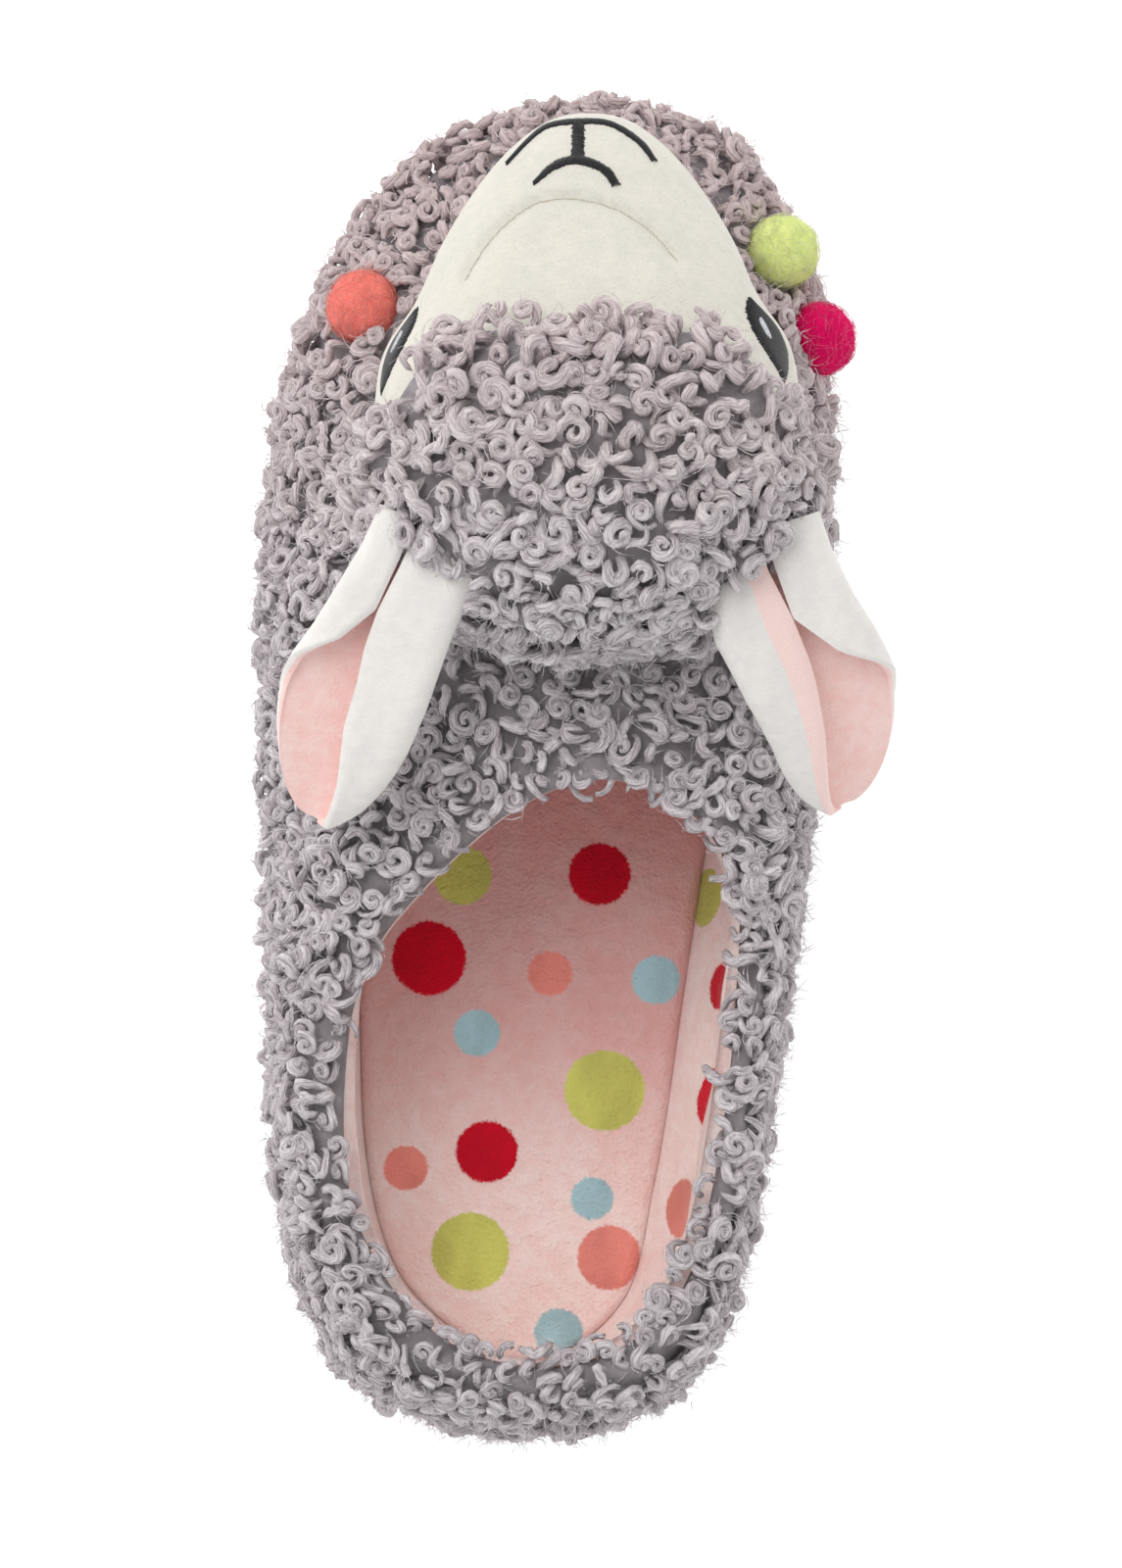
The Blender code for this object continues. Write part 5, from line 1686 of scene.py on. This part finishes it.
    def ear(self, name: str, bare: BVHTree) -> list[bpy.types.Object]:
        """An ear: white plush outside, pink plush inside, with rounded edges."""
        ear = Ear(name, self.head, EarSizes())
        rows = 64
        half = ear.sizes.thickness / 2
        shares = [1 - (1 - j / rows) ** 1.5 for j in range(rows + 1)]
        layers = {}
        for label, stand in (("back", -half), ("front", half)):
            grid = np.empty((ear.columns + 1, rows + 1, 3))
            for j, share in enumerate(shares):
                for i in range(ear.columns + 1):
                    grid[i, j] = ear.point(i, share, stand, bare)
            layers[label] = grid
        front, back = layers["front"], layers["back"]
        pieces = []
        middle = (front + back) / 2
        puff = front - middle
        edge = np.ones((ear.columns + 1, rows + 1))
        i = np.arange(ear.columns + 1)[:, None]
        from_side = np.minimum(i, ear.columns - i) / 2.5
        from_tip = (rows - np.arange(rows + 1))[None, :] / 3.0
        near = np.clip(np.minimum(from_side, from_tip), 0, 1)
        edge = np.sqrt(np.clip(1 - (1 - near) ** 2, 0.0, 1))
        front, back = middle + puff * edge[..., None], middle - puff * edge[..., None]
        white = PlushFinish("f4f1ed", "edeae7", pile=0.45 * MM, relief=0.14 * MM, sheen=0.3)
        pink = PlushFinish("ffe2dd", "fdd6d0", pile=0.45 * MM, relief=0.16 * MM, sheen=0.3)
        for label, grid, finish in (("white", back, white), ("pink", front, pink)):
            banded = label == "white" and name == "ear_medial"
            band = pink.colour if banded else None
            material = self.finishes.plush(f"ear_{label}_plush_{name}", finish, band=band)
            bm = MeshMaker.grid(grid, weld=0)
            if banded:
                self.mark_band(bm, grid)
            bmesh.ops.recalc_face_normals(bm, faces=bm.faces)
            piece = MeshMaker.piece(f"{name}_{label}", bm, material, "ear_plush", [name], False)
            pieces.append(piece)
        return pieces

    @staticmethod
    def mark_band(bm: bmesh.types.BMesh, grid: np.ndarray) -> None:
        """Marks the strip of lining that shows along an ear's inner free edge."""
        layer = bm.verts.layers.float.new("band")
        strip = {tuple(np.round(np.float32(p), 6)) for p in grid[:4].reshape(-1, 3)}
        for vert in bm.verts:
            vert[layer] = float(tuple(np.round(np.float32(vert.co), 6)) in strip)


class Pompoms:
    """The felted balls on the sides of the toe."""

    colours = {
        "pompom_coral": ("coral_felt", "ff9388", "fd7268", "ffbdb2"),
        "pompom_lime": ("lime_felt", "f6ffb0", "e2f284", "fcffe0"),
        "pompom_pink": ("pink_felt", "fb1070", "d2064f", "ff8ab4"),
    }

    def __init__(self, finishes: Finishes) -> None:
        self.finishes = finishes
        self.trees: list[BVHTree] = []

    def ball(self, name: str, rng: np.random.Generator) -> list[bpy.types.Object]:
        """One ball of felted fibre with its loose hairs."""
        low, high = (Vector(corner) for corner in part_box(name))
        centre = (low + high) / 2
        radius = (high - low).length / math.sqrt(12)
        slot, colour, deep, pale = self.colours[name]
        bm = bmesh.new()
        bmesh.ops.create_icosphere(bm, subdivisions=5, radius=radius)
        for vert in bm.verts:
            way = vert.co.normalized()
            broad = noise.noise(way * 2.2 + centre * 60)
            fine = noise.noise(way * 9.0 + centre * 90)
            vert.co = centre + way * (radius - 0.2 * MM + 0.35 * MM * broad + 0.16 * MM * fine)
        bmesh.ops.recalc_face_normals(bm, faces=bm.faces)
        self.trees.append(BVHTree.FromBMesh(bm))
        felt = self.finishes.felt(slot, colour, deep)
        ball = MeshMaker.piece(name + "_felt", bm, felt, slot, [name])
        count, stations = 300, 6
        way = rng.normal(0, 1, (count, 3))
        way /= np.linalg.norm(way, axis=1, keepdims=True)
        aside = np.cross(way, rng.normal(0, 1, (count, 3)))
        aside /= np.linalg.norm(aside, axis=1, keepdims=True)
        other = np.cross(way, aside)
        bend = rng.uniform(-2.2, 2.2, (count, 1))
        length = rng.uniform(2.0, 5.0, (count, 1)) * MM
        paths = []
        for t in np.linspace(0, 1, stations):
            turn = bend * t
            at = way * radius + (aside * np.sin(turn + 0.3) + other * (1 - np.cos(turn))) * length * t
            at /= np.linalg.norm(at, axis=1, keepdims=True)
            rise = radius + 0.05 * MM + 0.45 * MM * math.sin(math.pi * t) * rng.random((count, 1))
            paths.append(np.array(centre) + at * rise)
        paths = np.stack(paths, axis=1)
        tube = Tubes(3, stations)
        verts, strand = tube.along(paths, np.full(paths.shape[:2], 0.045 * MM))
        joined = Joined()
        joined.add(verts, tube.faces, strand, np.zeros(count))
        wisp = self.finishes.felt(slot + "_wisps", pale, colour)
        hairs = MeshMaker.add(name + "_hairs", joined.mesh(name + "_hairs"), wisp, slot)
        return [ball, hairs]


@dataclass(frozen=True)
class StudioSizes:
    """The camera over the slipper, the lights and the floor."""

    camera: tuple[float, float, float] = (1.14 * MM, -3.37 * MM, 1.3)
    lens: float = 146.3
    roll: float = math.radians(2.69)
    key_power: float = 8.2
    key_size: float = 0.9
    key_place: tuple[float, float, float] = (-0.50, 0.62, 1.25)
    sky: float = 0.66
    floor_glow: float = 0.6


class Studio:
    """A white sweep, soft light from over the toe and a camera looking straight down."""

    def __init__(self, sizes: StudioSizes) -> None:
        self.sizes = sizes

    def camera(self) -> None:
        """The photograph's view."""
        data = bpy.data.cameras.new("camera")
        data.lens = self.sizes.lens
        data.sensor_width = 36
        data.clip_end = 20
        camera = bpy.data.objects.new("camera", data)
        camera.location = self.sizes.camera
        camera.rotation_euler = (0, 0, self.sizes.roll)
        bpy.context.scene.collection.objects.link(camera)
        bpy.context.scene.camera = camera

    def floor(self) -> None:
        """A plain white floor that glows a little, as a lit sweep does."""
        bm = bmesh.new()
        bmesh.ops.create_grid(bm, x_segments=1, y_segments=1, size=3.0)
        mesh = bpy.data.meshes.new("floor")
        bm.to_mesh(mesh)
        bm.free()
        shader = Shader("white_sweep")
        shader.set(
            Base_Color=linear("f7f7f7"),
            Roughness=1.0,
            Specular_IOR_Level=0.0,
            Emission_Color=(1, 1, 1, 1),
            Emission_Strength=self.sizes.floor_glow,
        )
        mesh.materials.append(shader.material)
        floor = bpy.data.objects.new("floor", mesh)
        bpy.context.scene.collection.objects.link(floor)

    def light(self) -> None:
        """A wide soft light from over the toe, and an even sky."""
        data = bpy.data.lights.new("key", "AREA")
        data.energy = self.sizes.key_power
        data.size = self.sizes.key_size
        data.color = (1.0, 0.985, 0.965)
        key = bpy.data.objects.new("key", data)
        key.location = self.sizes.key_place
        way = Vector((0, 0, 0.04)) - Vector(self.sizes.key_place)
        key.rotation_euler = way.to_track_quat("-Z", "Y").to_euler()
        bpy.context.scene.collection.objects.link(key)
        world = bpy.data.worlds.new("studio")
        world.use_nodes = True
        background = world.node_tree.nodes["Background"]
        background.inputs["Color"].default_value = (1.0, 1.0, 1.0, 1.0)
        background.inputs["Strength"].default_value = self.sizes.sky
        bpy.context.scene.world = world
        bpy.context.scene.view_settings.view_transform = "Standard"

    def build(self) -> None:
        """Makes all of it."""
        self.camera()
        self.floor()
        self.light()


def clear_of(seeds: Seeds, tree: BVHTree, stand: float, gap: float, closed: bool = True) -> np.ndarray:
    """Which seeds have their lock's centre at least the gap from a form, and outside it if it is closed."""
    keep = np.ones(len(seeds.points), bool)
    centres = seeds.points + seeds.normals * stand
    for k, centre in enumerate(centres):
        hit, normal, _, distance = tree.find_nearest(Vector(centre))
        inside = closed and (Vector(centre) - hit).dot(normal) < 0
        keep[k] = distance >= gap and not inside
    return keep


# Where the collar's curls end, seen from the camera and laid on the floor, in millimetres.
COLLAR_CURLS = (
    (-1.8, -116.5), (-12.0, -115.0), (-21.7, -110.0), (-27.9, -102.5), (-33.3, -93.0), (-37.6, -83.4),
    (-39.1, -63.9), (-38.2, -50.2), (-35.6, -44.2), (-31.1, -34.2), (-23.8, -24.1), (-12.5, -13.8),
    (-3.1, -6.5), (6.6, -4.3), (16.4, -5.0), (26.4, -10.0), (33.7, -19.4), (36.2, -31.0),
    (35.7, -40.8), (35.0, -46.7), (34.2, -60.5), (32.6, -80.1), (30.1, -90.0), (26.7, -99.9),
    (21.3, -109.0), (11.8, -115.9),
)


def outside_collar(centres: np.ndarray) -> np.ndarray:
    """Which locks leave the opening free as the photo shows it."""
    eye = np.array(StudioSizes.camera)
    seen = eye[:2] + (centres[:, :2] - eye[:2]) * (eye[2] / (eye[2] - centres[:, 2]))[:, None]
    edge = smooth_line((*COLLAR_CURLS, COLLAR_CURLS[0]), 240) * MM
    away = np.min(np.linalg.norm(seen[:, None] - edge[None], axis=2), axis=1)
    inside = np.array([Slipper.inside(edge, x, y) for x, y in seen])
    return ~inside & (away > 2.4 * MM)


class PlushCoat:
    """Covers wall and crown with locks, in regions small enough for one mesh each."""

    def __init__(self, slipper: Slipper, llama: LlamaHead, finishes: Finishes) -> None:
        self.slipper = slipper
        self.llama = llama
        self.finish = finishes.curls()
        self.sizes = LockSizes()
        self.rng = np.random.default_rng(20)

    def wall(self, face: BVHTree, ears: Sequence[BVHTree], pompoms: Sequence[BVHTree]) -> None:
        """Locks over the slipper's wall, clear of head, ears and pompoms."""
        s = self.sizes
        seeds = self.slipper.seeds(self.rng, 36000)
        ahead = smooth(0.104, 0.126, seeds.points[:, 1]) * np.clip(seeds.normals[:, 1], 0, 1)
        rise = 3.2 * MM * ahead + Slipper.swell(seeds.normals)
        seeds.points = seeds.points + seeds.normals * rise[:, None]
        keep = clear_of(seeds, face, s.stand, 1.9 * MM)
        for tree in ears:
            keep &= clear_of(seeds, tree, s.stand, 3.0 * MM, closed=False)
        for tree in pompoms:
            keep &= clear_of(seeds, tree, s.stand, 1.8 * MM)
        keep &= outside_collar(seeds.points + seeds.normals * s.stand)
        seeds = seeds.only(keep).thinned(s.spacing, s.stand)
        around = np.arctan2(seeds.points[:, 0], seeds.points[:, 1])
        regions = {
            "curls_toe": np.abs(around) < 0.62,
            "curls_medial": (around >= 0.62) & (around < 2.5),
            "curls_lateral": (around <= -0.62) & (around > -2.5),
            "curls_heel": np.abs(around) >= 2.5,
        }
        for k, (name, inside) in enumerate(regions.items()):
            part = seeds.only(inside)
            curls = Curls(s, 40 + k)
            joined = curls.grow(part, [face, *pompoms])
            LOG.info("%s: %d locks", name, len(part.points))
            MeshMaker.add(name, joined.mesh(name), self.finish, "curly_plush", ["upper"])

    def crown(self, ears: Sequence[BVHTree], wall_tree: BVHTree) -> None:
        """Locks over the crown, with a lighter mean tone than the wall's locks as painted light on the crown."""
        s = self.sizes
        seeds = self.llama.crown_seeds(self.rng, 12000)
        keep = clear_of(seeds, wall_tree, s.stand, 3.0 * MM)
        for tree in ears:
            keep &= clear_of(seeds, tree, s.stand, 1.0 * MM, closed=False)
        seeds = seeds.only(keep).thinned(s.spacing * 1.06, s.stand)
        for tree in self.llama.eye_trees:
            seeds = seeds.only(clear_of(seeds, tree, s.stand, 4.6 * MM, closed=False))
        for plan in self.llama.eye_plans:
            centre = (seeds.points + seeds.normals * s.stand)[:, :2]
            away = np.min(np.linalg.norm(centre[:, None] - plan[None], axis=2), axis=1)
            seeds = seeds.only(away > 3.7 * MM)
        LOG.info("crown: %d locks", len(seeds.points))
        # painted light: the crown's locks get a lighter mean tone (0.7 against 0.3 on the wall) for the brighter light
        # that falls on the crown
        joined = Curls(s, 60).grow(seeds, self.llama.eye_trees, 1.14, 0.7)
        MeshMaker.add("curls_crown", joined.mesh("curls_crown"), self.finish, "crown_plush", ["crown"])


def main() -> None:
    """Builds the slipper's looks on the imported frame."""
    logging.basicConfig(level=logging.INFO, format="%(name)s %(message)s")
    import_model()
    Studio(StudioSizes()).build()
    sole_low, sole_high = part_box("outsole")
    sizes = WallSizes()
    length = (sole_high[1] - sole_low[1]) + 2 * sizes.tuck
    wall = Wall(length, sizes)
    finishes = Finishes()
    slipper = Slipper(wall, Interior(wall, LiningSizes()), finishes)
    wall_tree = slipper.smooth_tree()
    head_sizes = HeadSizes()
    head = Head(length / 2 + head_sizes.overhang, head_sizes)
    llama = LlamaHead(head, wall_tree, finishes)
    slipper.ground()
    slipper.lining()
    slipper.insole()
    slipper.sole()
    llama.face()
    llama.crown()
    for name in EYES:
        llama.eye(name)
    llama.mouth()
    llama.seam()
    bare = llama.bare_tree()
    ear_trees = []
    for name in EARS:
        pieces = llama.ear(name, bare)
        for piece in pieces:
            bm = bmesh.new()
            bm.from_mesh(piece.data)
            ear_trees.append(MeshMaker.tree(bm))
    pompoms = Pompoms(finishes)
    rng = np.random.default_rng(5)
    for name in pompoms.colours:
        pompoms.ball(name, rng)
    coat = PlushCoat(slipper, llama, finishes)
    coat.wall(llama.face_tree, ear_trees, pompoms.trees)
    coat.crown(ear_trees, wall_tree)


if __name__ == "__main__":
    main()
